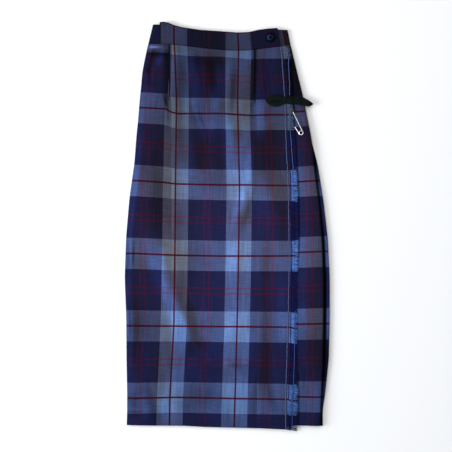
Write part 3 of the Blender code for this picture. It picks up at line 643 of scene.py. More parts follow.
def sewn_dart(place, zone):
    """A dart: the cloth runs under its right side, back, and over again."""
    cover = edge_at(1, rows, DART_COVER)
    base = apron_height(place + flat, rows)
    half = LAYER / 2
    path = half_turn(place + cover, base + half, half, -90, 90, 4)
    path += half_turn(place + flat, base + 3 * half, half, 270, 90, 4)
    for reach in (1.4 + flat, 2.2 + cover / 2, cover + 3.0):
        path.append((place + reach, base + 2 * LAYER))
    ended = smooth((rows - DART_END - 10.0) / 23.0)
    for step, (x, z) in enumerate(path):
        spread = place + (step - 6.0) * 1.2
        columns.append((x + (spread - x) * ended, z + (base - z) * ended))
        zones.append(zone + IN_DART)


open_field(crease, DARTS[0] - 7.0, 16, 0)
sewn_dart(DARTS[0], 0)
open_field(DARTS[0] + 16.0, DARTS[1] - 7.0, 46, 1, DARTS[0])
sewn_dart(DARTS[1], 1)
open_field(DARTS[1] + 16.0, edge, 17, 2, DARTS[1])
columns.append((edge, apron_height(edge, rows)))
zones.append(2)

across, heights = join_columns(columns)
drops = lay_down(across, down, SEAM, HEM)
warp = np.zeros_like(across)
weft = np.zeros_like(across)
for number, zone in enumerate(zones):
    if zone in (0, 1, 2):
        warp[:, number] = warp_at(across[:, number], rows, zone)
        weft[:, number] = weft_at(across[:, number], drops[:, number], zone=zone)
for zone in (0, 1):
    first = zones.index(zone + IN_DART)
    last = first + DART_COLUMNS - 1
    start_warp = warp_at(across[:, first], rows, zone)
    turn_warp = warp_at(across[:, first + SECOND_TURN], rows, zone + 1)
    start_weft = weft_at(across[:, first], drops[:, first], zone=zone)
    end_weft = weft_at(across[:, last], drops[:, last], zone=zone + 1)
    run = run_along(across[:, first:last + 1], heights[:, first:last + 1])
    for step in range(DART_COLUMNS):
        number = first + step
        if step <= SECOND_TURN:
            part = np.clip(run[:, step] / run[:, SECOND_TURN], 0.0, 1.0)
            warp[:, number] = start_warp + (turn_warp - start_warp) * part
        else:
            warp[:, number] = warp_at(across[:, number], rows, zone + 1)
        weft[:, number] = start_weft + (end_weft - start_weft) * smooth(run[:, step] / run[:, -1])
back_run = run_along(across[:, turned - 1::-1], heights[:, turned - 1::-1]) / WARP_HALF
for number in range(turned):
    warp[:, number] = warp[:, turned - 1] - back_run[:, turned - 1 - number]
    weft[:, number] = weft_at(across[:, number], drops[:, number], zone=0)
LAST_WARP = 4.59
warp = np.minimum(warp, LAST_WARP)

from_left = across - left[:, None]
side_strip = smooth((17.0 - from_left) / 5.0) * smooth((down - 200.0) / 80.0)
# The left strip, where the side turns under, gets a strong painted sheen.
painted_sheen = np.maximum(painted_sheen_at(across, down), 1.1 * side_strip)
shade = shade_at(rows)[:, None] * (1.0 - np.clip(spots_at(HOLLOWS, across, down), -2.5, 0.9))
# Painted shade along the very left edge, where the side turns under.
shade = shade * (1.0 - 0.15 * np.exp(-(from_left / 2.5) ** 2))
# The insides of the darts get painted shade, and the last two columns of each lie on top, painted as
# in the light
for zone in (0, 1):
    first = zones.index(zone + IN_DART)
    last = first + DART_COLUMNS - 1
    shade[:, first:last + 1] *= 0.06 + 0.94 * smooth((down - 155.0) / 30.0)
    shade[:, last - 1:last + 1] = 0.8 / 0.66 * shade_at(rows)[:, None]
# The lower end of the left dart's edge catches the light
lit_edge = 1.2 * np.exp(-((down - DART_END) / 15.0) ** 4)
edge_start = zones.index(IN_DART) + LEFT_OF_TURN
shade[:, edge_start:edge_start + 2] = np.maximum(shade[:, edge_start:edge_start + 2], lit_edge)
front_apron = cloth_sheet("front_apron_cloth", across, drops, heights, warp, weft, painted_sheen, shade)
front_apron.data.materials.append(tartan_cloth)
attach(front_apron, "root")
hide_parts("front_apron")


# The under apron: the other end of the same wrapped cloth. It lies hidden under the front
# apron and shows at the right as the side panel, whose fold turns under in a soft roll.
PANEL_TWIN = np.array([
    (55, 148), (110, 160), (205, 166.8), (315, 176.2), (392, 179.3), (611, 181.6), (887, 182),
])
PANEL_WEFT = np.array([
    # across, then the drop of each dark red
    (140, 199, 352.5, 507.5, 665, 824.3),
    (212, 193.5, 348.5, 504.5, 663, 824.3),
])
PANEL_FOLDS = (
    # across, drop, across, drop, height, half_width
    (168, 200, 186, 320, 0.8, 9), (178, 380, 184, 520, 0.7, 10), (172, 560, 176, 700, 0.9, 10),
    (190, 640, 190, 760, 0.7, 9), (170, 780, 186, 800, 0.9, 9), (182, 840, 180, 880, 0.8, 10),
)
# Painted sheen spots on the side panel.
PANEL_PAINTED_SHEEN = (
    # across, drop, reach_across, reach_down, strength, lean
    (168, 207, 10, 26, 0.35), (198, 830, 12, 50, 0.6), (162, 640, 12, 80, 0.3),
    (160, 490, 10, 50, 0.4), (188, 856, 14, 30, 0.4), (184, 670, 10, 110, -0.2),
)
roll = edge_at(ROLL, rows)
centre = edge_at(PANEL, rows) - FLOOR_LAYER - roll
hidden_start = left + 34.0
panel_start = edge - 8.0
columns = []
for step in range(24):
    place = hidden_start + (panel_start - hidden_start) * step / 24
    columns.append((place, panel_height(place, rows)))
for step in range(26):
    place = panel_start + (centre - panel_start) * step / 26
    clear = smooth((place - edge_at(LOWER, rows) - 1.0) / 6.0) * smooth((rows - 150.0) / 40.0)
    lift = (fold_height(place, rows, PANEL_FOLDS) + 0.5 * ripple(place, rows)) * clear
    columns.append((place, panel_height(place, rows) + lift * smooth((centre - place) / 6.0)))
fold_column = len(columns)
columns += half_turn(centre, PLEAT_TOP + roll, roll, 90, -90, 12)
under_end = edge_at(LAST_PLEAT, rows, PLEATS) + 9.0
columns += [((centre + under_end) / 2, PLEAT_TOP + flat), (under_end, PLEAT_TOP + flat)]
across, heights = join_columns(columns)
drops = lay_down(across, down, SEAM, BACK_HEM)
at_fold = 4.0 + (centre - edge_at(1, rows, PANEL_TWIN)) / WARP_HALF
warp = run_along(across, heights) / WARP_HALF
warp = warp - warp[:, fold_column:fold_column + 1] + at_fold[:, None]
weft = weft_at(across, drops, PANEL_WEFT)
inward = across - edge_at(LOWER, rows)[:, None]
reach = (centre - edge_at(LOWER, rows))[:, None]
# Painted sheen: bluest beside the fringe, greyer towards the fold, bluer again near the hem.
painted_sheen = 0.68 - 0.6 * smooth(inward / reach) + 0.2 * smooth((down - 700.0) / 150.0)
painted_sheen = painted_sheen + spots_at(PANEL_PAINTED_SHEEN, across, down)
# Painted shade: darker where the fold rolls under, nearly black on the cloth beneath the roll, and
# dark beside the fringe near the waist.
shade = 0.95 - 0.75 * smooth((across - (centre + 0.2 * roll)[:, None]) / (0.8 * roll)[:, None])
shade[:, -9:] = 0.12
shade = shade * (1.0 - 0.85 * np.exp(-(inward / 3.0) ** 2) * smooth((250.0 - down) / 60.0))
# The painted shadow line beside the fringe, narrower where the fringe lies close to the panel
close = np.exp(-((down - 650.0) / 130.0) ** 6)
line = np.exp(-((inward - 0.9 + 0.7 * close) / (2.0 - close)) ** 2)
shade = shade * (1.0 - (0.93 - 0.45 * close) * line)
# More painted shade lower down, and much more towards the waist.
shade = shade * (1.0 - 0.12 * smooth((down - 640.0) / 60.0))
shade = shade * (1.0 - 0.72 * smooth((215.0 - down) / 70.0)) * shade_at(rows)[:, None]
under_apron = cloth_sheet("under_apron_cloth", across, drops, heights, warp, weft, painted_sheen, shade)
under_apron.data.materials.append(tartan_cloth)
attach(under_apron, "root")
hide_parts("under_apron")


# The outer pleat: the last pleat of the back, in the same cloth. It is tucked under the one
# before it, spreads out past the side panel and rolls back over a deep valley, painted dark as
# shade.
rows = np.linspace(SEAM_DROP, HEM_DROP, 200)
down = rows[:, None]
first, last = edge_at(FIRST_PLEAT, rows, PLEATS), edge_at(LAST_PLEAT, rows, PLEATS)
fold = last - FLOOR_LAYER - LAYER / 2
tuck = fold - 0.8 * (last - first) / PLEAT_COUNT
roll = edge_at(OUTER_ROLL, rows)
crest = FLOOR_LAYER + 2 * roll
centre = edge_at(OUTER, rows) - FLOOR_LAYER - roll
valley = FLOOR_LAYER + LAYER
flat = 0 * rows
columns = [(tuck, PLEAT_TOP + flat)]
for reach, height in ((-4.0, PLEAT_TOP), (1.6, PLEAT_TOP), (3.6, 3.25), (5.0, 2.3), (6.6, 1.1),
                      (8.4, FLOOR_LAYER)):
    columns.append((fold + reach, height + flat))
for share in (0.33, 0.66):
    columns.append((fold + 8.4 + (centre - fold - 8.4) * share, FLOOR_LAYER + flat))
columns += half_turn(centre, FLOOR_LAYER + roll, roll, -90, 90, 12)
for share in (0.25, 0.5, 0.75, 1.0):
    columns.append((centre - 4.5 * share, crest + (valley - crest) * smooth(share)))
columns.append((np.maximum(centre - 6.0, fold + 10.7), valley + flat))
columns.append((fold + 10.5, valley + flat))
across, heights = join_columns(columns)
drops = lay_down(across, down, SEAM, BACK_HEM)
warp = 0.55 + run_along(across, heights) / WARP_HALF
weft = weft_at(across, drops, PANEL_WEFT)
# Painted sheen, strong all over the outer pleat.
painted_sheen = np.full_like(across, 1.15)
# Columns 16 to 21 are the top of the roll, 22 to 24 lead down from it, and the rest is valley
# Painted light and shade: the top of the roll lit but darker towards the hem, the tuck in shade, the
# valley painted nearly black as shadow, and the whole pleat dark towards the waist.
shade = np.ones_like(across)
shade[:, :7] = 0.6
shade[:, 16:25] = (1.0, 1.0, 0.9, 0.95, 0.95, 0.9, 0.9, 0.8, 0.5)
shade[:, 19:25] *= 1.0 - 0.75 * smooth((down - 660.0) / 80.0)
shade[:, 25:] = 0.02
shade = shade * (shade_at(rows)[:, None] * (0.1 + 0.9 * smooth((down - 310.0) / 100.0)))
outer_pleat = cloth_sheet("outer_pleat_cloth", across, drops, heights, warp, weft, painted_sheen, shade)
outer_pleat.data.materials.append(tartan_cloth)
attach(outer_pleat, "root")
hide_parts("outer_pleat")


# The pleated back: thirteen pressed knife pleats in the same cloth, all turned one way, with
# the faces on the floor. They open out from the waistband to the hem.
rows = np.linspace(SEAM_DROP, HEM_DROP, 120)
down = rows[:, None]
first, last = edge_at(FIRST_PLEAT, rows, PLEATS), edge_at(LAST_PLEAT, rows, PLEATS)
pitch = (last - first) / PLEAT_COUNT
half = LAYER / 2
flat = 0 * rows
columns = [(first, FLOOR_LAYER + flat)]
for pleat in range(PLEAT_COUNT):
    fold = first + (pleat + 1) * pitch - FLOOR_LAYER - half
    tuck = fold - 0.8 * pitch
    uneven = 0.9 * np.sin(rows / (70.0 + 9.0 * pleat) + pleat)
    columns.append((fold - pitch + 7.5, FLOOR_LAYER + flat))
    columns.append((fold - 3.0, FLOOR_LAYER + flat))
    columns += half_turn(fold, FLOOR_LAYER + half + flat, half, -90, 90, 6)
    columns.append((tuck + 2.5 + uneven, FLOOR_LAYER + LAYER + flat))
    columns.append((tuck, FLOOR_LAYER + LAYER + flat))
    if pleat < PLEAT_COUNT - 1:
        columns += half_turn(tuck, PLEAT_TOP - half + flat, half, 270, 90, 6)[1:]
        for reach, height in ((1.0, PLEAT_TOP), (2.2, 3.0), (3.6, 1.3), (4.9, FLOOR_LAYER)):
            columns.append((fold + reach, height + flat))
across, heights = join_columns(columns)
drops = lay_down(across, down, SEAM, BACK_HEM)
middle_row = len(rows) // 2
warp = 0.9 + run_along(across, heights) / WARP_HALF
warp = np.repeat(warp[middle_row:middle_row + 1], len(rows), axis=0)
weft = weft_at(across, drops, PANEL_WEFT)
# A painted sheen that waves gently across the pleats.
painted_sheen = 0.42 + 0.12 * np.sin(across / 31.0 + down / 90.0)
shade = np.where(heights > 1.2, 0.55, 1.0)
pleated_back = cloth_sheet("pleated_back_cloth", across, drops, heights, warp, weft, painted_sheen, shade)
pleated_back.data.materials.append(tartan_cloth)
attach(pleated_back, "root")
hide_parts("pleated_back")


# The waistband: straight strips of the same cloth, doubled over and sewn over the gathered
# top of the kilt. The front strip follows the apron, and the back strip turns round the left
# side and comes back at the right, under the front one, with the under apron.
BAND_TOP = np.array([
    (-149, 1.5), (-141, 0), (-130, 2), (-117, 7.5), (-101, 12), (-61, 18),
    (24, 24), (50, 23), (73, 18), (94, 15.5), (116, 14),
])
BACK_BAND_TOP = np.array([
    (-165, 6.5), (-148, 6.5), (-101, 14), (24, 26), (73, 20), (112, 17), (130, 18),
])
BAND_LEVEL = 8.1
BAND_JOIN = -148.5
# The strips lean in towards the top. Out at the reach, the slope is the lean over the reach,
# and at the join it is none.
BAND_REACH = 140.0
SIDE_LEAN = 28.0
JOIN_REACH = 20.4
# The dark red in the front strip's middle pale band, the half repeat of its cloth, and the
# dark red in the end of the back strip that shows at the right
BAND_RED, BAND_HALF = 24.9, 70.9
INNER_RED = 129.5
# The weft at the seam, and how much less it is at the top, in repeats
BAND_WEFT, BAND_RISE = 0.775, 0.243


def band_sheet(name, places, levels, top_edge, wall, warp_count, painted_sheen_level, shade_columns):
    """A strip of the band between its top edge and the seam."""
    shares = np.array([0.0, 0.03, 0.08, 0.16, 0.3, 0.45, 0.6, 0.75, 0.88, 0.95, 1.0])
    top = np.interp(places, top_edge[:, 0], top_edge[:, 1])
    seam = np.interp(places, SEAM[:, 0], SEAM[:, 1])
    drops = top + shares[:, None] * (seam - top)
    pull = places / BAND_REACH
    held = (levels == BAND_LEVEL) & (places < 0.0)
    pull = np.where(held, pull * np.maximum(0.0, BAND_JOIN - places) / JOIN_REACH, pull)
    across = places - SIDE_LEAN * (seam - drops) / BAND_REACH * pull
    ripple_here = 0.12 * np.sin(places / 9.0 + drops / 13.0)
    heights = levels + ripple_here * np.sin(math.pi * shares)[:, None]
    warp = np.broadcast_to(warp_count, across.shape)
    weft = BAND_WEFT - BAND_RISE * (seam - drops) / (seam - top)
    # Painted shade along the top edge and, less, along the seam.
    painted_edge_shade = 0.75 * np.exp(-(shares / 0.035) ** 2) + 0.5 * np.exp(-((1.0 - shares) / 0.04) ** 2)
    shade = (1.0 - painted_edge_shade)[:, None] * shade_columns
    painted_sheen = np.broadcast_to(painted_sheen_level, across.shape)
    return cloth_sheet(name, across, drops, heights, warp, weft, painted_sheen, shade, wall)


places = np.linspace(-148.2, 117.0, 110)
# Painted sheen on the front strip, strongest towards its right end.
band_painted_sheen = 0.25 + 0.3 * np.exp(-((places - 100) / 26) ** 2) + 0.12 * np.sin(places / 21.0)
band_shade = 0.43 + 0.04 * np.sin(places / 33.0)
waistband_front = band_sheet(
    "waistband_front_cloth", places, BAND_LEVEL + 0 * places, BAND_TOP, 2.6,
    3.0 + (places - BAND_RED) / BAND_HALF, band_painted_sheen, band_shade,
)
BACK_LEFT, BACK_RIGHT = -173.5, 140.0
floor_level, back_wall = 1.2, 2.1
left_roll, right_roll = (BAND_LEVEL - floor_level) / 2, (UNDER_LEVEL - floor_level) / 2
left_centre = BACK_LEFT + floor_level + left_roll
right_centre = BACK_RIGHT - floor_level - right_roll
path = [(x, BAND_LEVEL) for x in np.linspace(BAND_JOIN, left_centre + 0.6, 10)]
path += half_turn(left_centre, floor_level + left_roll, left_roll, 90, 270, 12)
path += [(x, floor_level) for x in np.linspace(left_centre + 8.0, right_centre - 8.0, 60)]
before_end = len(path)
path += half_turn(right_centre, floor_level + right_roll, right_roll, -90, 90, 10)
path += [(x, UNDER_LEVEL) for x in np.linspace(right_centre - 2.0, 40.0, 36)]
places = np.array([x for x, _ in path])
levels = np.array([z for _, z in path])
run = np.concatenate(([0.0], np.cumsum(np.hypot(np.diff(places), np.diff(levels)))))
turned_in = np.arange(len(places)) >= before_end
counts = 3.0 + (BAND_JOIN - BAND_RED) / BAND_HALF - run / WARP_HALF
counts = np.where(turned_in, 3.0 + (places - INNER_RED) / WARP_HALF, counts)
# The back strip's painted sheen is left off its turned-in end, whose painted shade deepens towards
# its right edge.
band_shade = np.where(turned_in, 0.46 - 0.36 * smooth((places - 123.0) / 12.0), 0.5)
waistband_back = band_sheet(
    "waistband_back_cloth", places, levels, BACK_BAND_TOP, back_wall,
    counts, np.where(turned_in, 0.0, 0.5), band_shade,
)
for band, node in ((waistband_front, "waistband_front"), (waistband_back, "waistband_back")):
    band.data.materials.append(tartan_cloth)
    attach(band, "root")
    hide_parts(node)


# The two fringes: weft yarns drawn out of the cut edges of the apron and of a strip under it,
# lying side by side down the whole edge. Each yarn keeps the colour of its place in the weft.
FRINGE_PALE = (0.105, 0.235, 0.66, 1.0)
FRINGE_NAVY = (0.0062, 0.0100, 0.088, 1.0)
FRINGE_RED = (0.042, 0.002, 0.010, 1.0)
yarn = Finish("fringe_yarn", {
    "Roughness": 0.75, "Specular IOR Level": 0.08,
    "Sheen Weight": 0.03, "Sheen Tint": (0.35, 0.5, 1.0, 1.0),
})
threads = yarn.add("UVMap", {}, uv_map="threads").outputs["UV"]
weft = yarn.add("SeparateXYZ", {0: threads}).outputs[1]
twins = yarn.calc("MAXIMUM", *(yarn.stripe(weft, middle, 0.008) for middle in WEFT_TWINS))
color = yarn.blend(yarn.stripe(weft, 0.0, PALE_WEFT_HALF), FRINGE_NAVY, FRINGE_PALE)
color = yarn.blend(twins, color, FRINGE_RED)
color = yarn.blend(yarn.stripe(weft, 0.0, 0.0115), color, FRINGE_RED)
# Each yarn's tone multiplies its colour: its own random tone, with painted light and shade along the
# fringe.
tone = yarn.add("Attribute", {}, attribute_name="tone").outputs["Color"]
yarn.color(yarn.blend(1.0, color, tone, "MULTIPLY"))
yarn.bump(yarn.noise(yarn.place(), 1400.0), 0.4, 0.0002)
fringe_yarn = yarn.material
chance = np.random.default_rng(7)


def yarn_mesh(name, paths, radii, threads, tones, sides=4):
    """Many yarns in one mesh: rings of a few sides along each path, closed at both ends.

    Tones tint each yarn's rings; a last axis of three makes them colours.
    """
    count, rings = paths.shape[:2]
    ahead = np.gradient(paths, axis=1)
    ahead /= np.linalg.norm(ahead, axis=2, keepdims=True)
    up = np.array((0.0, 0.0, 1.0)) - ahead * ahead[..., 2:3]
    up /= np.linalg.norm(up, axis=2, keepdims=True)
    aside = np.cross(ahead, up)
    turns = 2 * np.pi * (np.arange(sides) + 0.5) / sides
    spread = aside[:, :, None] * np.cos(turns)[:, None] + up[:, :, None] * np.sin(turns)[:, None]
    points = paths[:, :, None] + spread * radii[:, :, None, None]
    number = np.arange(count * rings * sides).reshape(count, rings, sides)
    ahead_of = np.roll(number, -1, axis=2)
    walls = np.stack((number[:, :-1], ahead_of[:, :-1], ahead_of[:, 1:], number[:, 1:]), axis=-1)
    faces = walls.reshape(-1, 4).tolist()
    for ends in (number[:, 0, ::-1], number[:, -1]):
        faces += ends.reshape(-1, sides).tolist()
    mesh = bpy.data.meshes.new(name)
    mesh.from_pydata((points.reshape(-1, 3) * MM).tolist(), [], faces)
    layer = mesh.uv_layers.new(name="threads")
    corner = np.empty(len(mesh.loops), dtype=np.int32)
    mesh.loops.foreach_get("vertex_index", corner)
    strand, ring = corner // (rings * sides), corner // sides % rings
    values = np.stack((ring / (rings - 1.0), threads[strand]), axis=-1)
    layer.uv.foreach_set("vector", values.reshape(-1).astype(np.float32))
    tone = mesh.attributes.new("tone", "FLOAT_COLOR", "POINT")
    if tones.ndim == 2:
        tones = np.repeat(tones[..., None], 3, axis=2)
    shades = np.ones((count, rings, sides, 4))
    shades[..., :3] = tones[:, :, None]
    tone.data.foreach_set("color", shades.reshape(-1).astype(np.float32))
    mesh.update()
    made = bpy.data.objects.new(name, mesh)
    bpy.context.scene.collection.objects.link(made)
    for polygon in mesh.polygons:
        polygon.use_smooth = True
    return made


def make_fringe(name, tip, height, root_set, count=1000):
    """A row of yarns from the apron's edge to uneven tips: bunched, wavy, a little crossed."""
    at = np.linspace(SEAM_DROP, HEM_DROP, count) + chance.uniform(-0.4, 0.4, count)
    root = edge_at(APRON, at) + root_set
    reach = edge_at(tip, at) - root
    bunch = 0.9 * np.sin(at / 3.1) + 0.7 * np.sin(at / 7.7 + 1.0)
    length = reach * (1.0 + 0.05 * np.sin(at / 5.3) + chance.normal(0.0, 0.05, count))
    shares = np.array([0.0, 0.13, 0.26, 0.39, 0.52, 0.65, 0.78, 0.9, 1.0])
    x = root[:, None] + shares * length[:, None]
    sway = chance.normal(0.0, 0.9, count)[:, None] * shares ** 1.6 + bunch[:, None] * shares ** 2
    sway = sway + 0.45 * np.sin(shares * 9.0 + chance.uniform(0, 6.3, (count, 1)))
    sway = sway + 3.4 * smooth((at - 450.0) / 300.0)[:, None] * shares ** 1.2
    drops = lay_down(x, at[:, None], SEAM, HEM) + sway
    lift = chance.uniform(-0.25, 0.45, count)[:, None] * np.sin(shares * math.pi)
    z = height(x, at[:, None]) + lift
    paths = np.stack((x, TOP - drops, z), axis=-1)
    radii = np.repeat(chance.uniform(0.38, 0.55, count)[:, None], len(shares), axis=1)
    radii[:, -1] *= 0.4
    threads = weft_at(x[:, 0], drops[:, 0] - sway[:, 0])
    tones = chance.uniform(0.65, 1.5, count)[:, None] * chance.uniform(0.75, 1.25, paths.shape[:2])
    # Painted light along the fringe: the painted shade of the waist and hem, a little more light
    # over the hips and more shade near the hem; each yarn is also darker towards its tip.
    tones = tones * (1.0 - 0.25 * shares ** 3) * (0.35 + 0.65 * shade_at(at))[:, None]
    tones = tones * (1.0 + 0.1 * np.exp(-((at - 590.0) / 120.0) ** 4))[:, None]
    tones = tones * (1.0 - 0.3 * smooth((at - 815.0) / 40.0))[:, None]
    near_top = smooth((165.0 - at) / 20.0)[:, None]
    tones = tones * (1.0 + 0.7 * near_top * np.sin(x * 1.45))
    # Painted shadow over the outer part of the yarns near the top, beside the side panel.
    past_edge = x - edge_at(APRON, at)[:, None]
    dark = np.exp(-((at - 132.0) / 46.0) ** 4)[:, None] * smooth((past_edge - 7.0) / 2.5)
    tones = tones * (1.0 - 0.84 * dark)
    # Near the top the yarns are painted greyer, without the blue painted sheen.
    greyer = smooth((262.0 - at) / 26.0)[:, None] * (np.array((0.95, 0.62, 0.36)) - 1.0)
    greyer = greyer + smooth((120.0 - at) / 30.0)[:, None] * np.array((0.1, -0.04, -0.02))
    tones = tones[..., None] * (1.0 + greyer[:, None])
    return yarn_mesh(name, paths, radii, threads, tones)


def upper_fringe_height(across, drops):
    start, end = edge_at(APRON, drops), edge_at(UPPER, drops)
    low = lower_fringe_height(end, drops) + 1.1
    high = apron_height(start, drops)
    return high + (low - high) * np.clip((across - start) / (end - start), 0.0, 1.0)


fringe_upper = make_fringe("fringe_upper_yarns", UPPER, upper_fringe_height, 0.2)
fringe_lower = make_fringe("fringe_lower_yarns", LOWER, lower_fringe_height, -4.5)
for piece, node in ((fringe_upper, "fringe_upper"), (fringe_lower, "fringe_lower")):
    piece.data.materials.append(fringe_yarn)
    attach(piece, "root")
    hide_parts(node)


# The yarns that hold the fringes: a pale warp yarn left in the apron's cut edge, a dark red
# one beside it, and a pale one in the fringe below, which shows near its top and its end.
def long_yarn(name, places, radius, color, height, first_drop=56.0, last_drop=890.0):
    """One yarn down the garment along a table of (drop, across)."""
    table = np.array(places, dtype=float)
    at = np.linspace(first_drop, last_drop, int((last_drop - first_drop) / 2.0))
    x = np.interp(at, table[:, 0], table[:, 1]) + 0.25 * np.sin(at / 4.1) + 0.2 * np.sin(at / 9.7)
    z = height(x, at) + 0.08 * np.sin(at / 2.3)
    paths = np.stack((x, TOP - lay_down(x, at, SEAM, HEM), z), axis=-1)[None]
    radii = np.full((1, len(at)), radius)
    made_yarn = yarn_mesh(name, paths, radii, np.zeros(1), np.ones((1, len(at))), 6)
    finish = Finish(name, {"Roughness": 0.8, "Specular IOR Level": 0.1})
    dark, light = (tuple(share * c for c in color) + (1.0,) for share in (0.7, 1.2))
    spots = finish.noise(finish.place(), 300.0)
    finish.color(finish.ramp(spots, (0.35, dark), (0.65, light)).outputs["Color"])
    made_yarn.data.materials.append(finish.material)
    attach(made_yarn, "root")
    return made_yarn


def on_apron(across, drops):
    return apron_height(across, drops) + 0.75


def on_upper(across, drops):
    return upper_fringe_height(across, drops) + 0.75


def on_lower(across, drops):
    return lower_fringe_height(across, drops) + 1.25


edge_yarn = long_yarn("edge_yarn_pale", (
    (55, 117), (84, 120.5), (171, 126.5), (260, 129), (358, 134), (512, 136.6),
    (669, 133.2), (827, 128.2), (887, 128.5),
), 0.78, (0.088, 0.118, 0.27), on_apron)
red_edge_yarn = long_yarn("edge_yarn_red", (
    (55, 123.5), (171, 129.5), (316, 138), (358, 139.2), (512, 141.8),
    (669, 139), (827, 134), (887, 133.6),
), 0.9, (0.030, 0.0008, 0.010), on_upper, 300.0, 824.0)
second_yarn = long_yarn("fringe_yarn_pale", (
    (55, 131.6), (84, 134.5), (140, 137), (240, 138.5), (275, 141.4), (319, 144.5),
), 0.66, (0.075, 0.13, 0.30), on_lower, last_drop=326.0)
third_yarn = long_yarn("fringe_yarn_low", (
    (630, 149.6), (700, 148.4), (770, 146.4), (827, 143.4), (887, 142.4),
), 0.62, (0.05, 0.09, 0.26), on_lower, first_drop=632.0)


# The button: a dished navy button with a raised black rim and four holes, sewn through with
# navy thread near the end of the front waistband.
BUTTON_X, BUTTON_Y = 94.0, TOP - 35.0
BUTTON_BASE = BAND_LEVEL + 1.5 + 0.3
HOLE_SET, HOLE_RADIUS = 1.7, 0.85
button_place = (BUTTON_X * MM, BUTTON_Y * MM, BUTTON_BASE * MM)
PROFILE = (
    # radius, height
    (0, 1.55), (2.6, 1.6), (4.6, 1.75), (6.2, 2.2), (7.1, 2.9), (7.9, 3.3), (9, 3.5), (10.1, 3.3),
    (10.8, 2.7), (11, 2), (10.7, 1.1), (9.8, 0.5), (8.2, 0.1), (0, 0),
)
mesh = bpy.data.meshes.new("coat_button")
outline = [(n, n + 1) for n in range(len(PROFILE) - 1)]
mesh.from_pydata([(radius * MM, 0.0, height * MM) for radius, height in PROFILE], outline, [])
coat_button = bpy.data.objects.new("coat_button", mesh)
bpy.context.scene.collection.objects.link(coat_button)
bpy.context.view_layer.objects.active = coat_button
coat_button.select_set(True)
turn = coat_button.modifiers.new("Turn", "SCREW")
turn.steps = turn.render_steps = 64
turn.use_merge_vertices = True
turn.merge_threshold = 0.00001
bpy.ops.object.modifier_apply(modifier="Turn")
bpy.ops.object.mode_set(mode="EDIT")
bpy.ops.mesh.select_all(action="SELECT")
bpy.ops.mesh.remove_doubles(threshold=0.00001)
bpy.ops.mesh.normals_make_consistent(inside=False)
bpy.ops.object.mode_set(mode="OBJECT")
for hole_x, hole_y in ((-1, -1), (1, -1), (1, 1), (-1, 1)):
    bpy.ops.object.select_all(action="DESELECT")
    spot = (hole_x * HOLE_SET * MM, hole_y * HOLE_SET * MM, 1.0 * MM)
    bpy.ops.mesh.primitive_cylinder_add(
        vertices=16, radius=HOLE_RADIUS * MM, depth=6 * MM, location=spot
    )
    drill = bpy.context.object
    coat_button.select_set(True)
    bpy.context.view_layer.objects.active = coat_button
    hole = coat_button.modifiers.new("Hole", "BOOLEAN")
    hole.operation = "DIFFERENCE"
    hole.solver = "EXACT"
    hole.object = drill
    bpy.ops.object.modifier_apply(modifier="Hole")
    bpy.data.objects.remove(drill, do_unlink=True)
points = np.empty(len(coat_button.data.vertices) * 3, dtype=np.float32)
coat_button.data.vertices.foreach_get("co", points)
points = points.reshape(-1, 3) + np.array(button_place, dtype=np.float32)
coat_button.data.vertices.foreach_set("co", points.reshape(-1))
coat_button.data.update()
bpy.ops.object.select_all(action="DESELECT")
coat_button.select_set(True)
bpy.context.view_layer.objects.active = coat_button
bpy.ops.object.shade_smooth_by_angle(angle=math.radians(40))

# Navy horn under a black rim, with a painted highlight: a bright blue ring in the dish
horn = Finish("navy_button", {"Roughness": 0.4, "Specular IOR Level": 0.03})
middle = (-button_place[0], -button_place[1], 0.0)
moved = horn.add("Mapping", {"Location": middle, "Vector": horn.place()}).outputs[0]
flat_place = horn.add("VectorMath", {0: moved, 1: (1.0, 1.0, 0.0)}, operation="MULTIPLY").outputs[0]
away = horn.add("VectorMath", {0: flat_place}, operation="LENGTH").outputs["Value"]
rings = horn.ramp(
    horn.ranged(away, 0.0, 0.0115, 0.0, 1.0),
    (0, (0.004, 0.006, 0.022, 1)), (1, (0.0015, 0.0015, 0.003, 1)),
)
for spot, color in ((0.26, (0.004, 0.006, 0.026, 1.0)), (0.42, (0.019, 0.034, 0.155, 1.0)),
                    (0.54, (0.015, 0.026, 0.12, 1.0)), (0.64, (0.0008, 0.0008, 0.003, 1.0))):
    rings.color_ramp.elements.new(spot).color = color
# Painted highlight on the left side: the colour is brightened there and dimmed towards the right.
sideways = horn.add("SeparateXYZ", {0: moved}).outputs[0]
from_left = horn.ranged(sideways, -0.0045, 0.0015, 1.5, 0.2)
painted_highlight_side = horn.add("VectorMath", {0: rings.outputs["Color"], "Scale": from_left}, operation="SCALE")
horn.color(painted_highlight_side.outputs[0])
coat_button.data.materials.append(horn.material)
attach(coat_button, "root")
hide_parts("button")

# The button's thread: two crossed stitches through the holes.
stitches = []
for start, end in (((-1, -1), (1, 1)), ((1, -1), (-1, 1))):
    turns = np.linspace(0.0, 1.0, 9)
    for strand in (-0.21, 0.21):
        x = BUTTON_X + HOLE_SET * (start[0] + (end[0] - start[0]) * turns) + strand
        y = BUTTON_Y + HOLE_SET * (start[1] + (end[1] - start[1]) * turns) + strand * end[0]
        z = BUTTON_BASE + 1.0 + 1.15 * np.sin(turns * math.pi) ** 0.6
        stitches.append(np.stack((x, y, z), axis=-1))
stitches = np.array(stitches)
button_thread = yarn_mesh(
    "button_thread", stitches, np.full(stitches.shape[:2], 0.32), np.full(4, 0.5),
    np.full(stitches.shape[:2], 0.7), 6,
)
button_thread.data.materials.append(fringe_yarn)
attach(button_thread, "root")


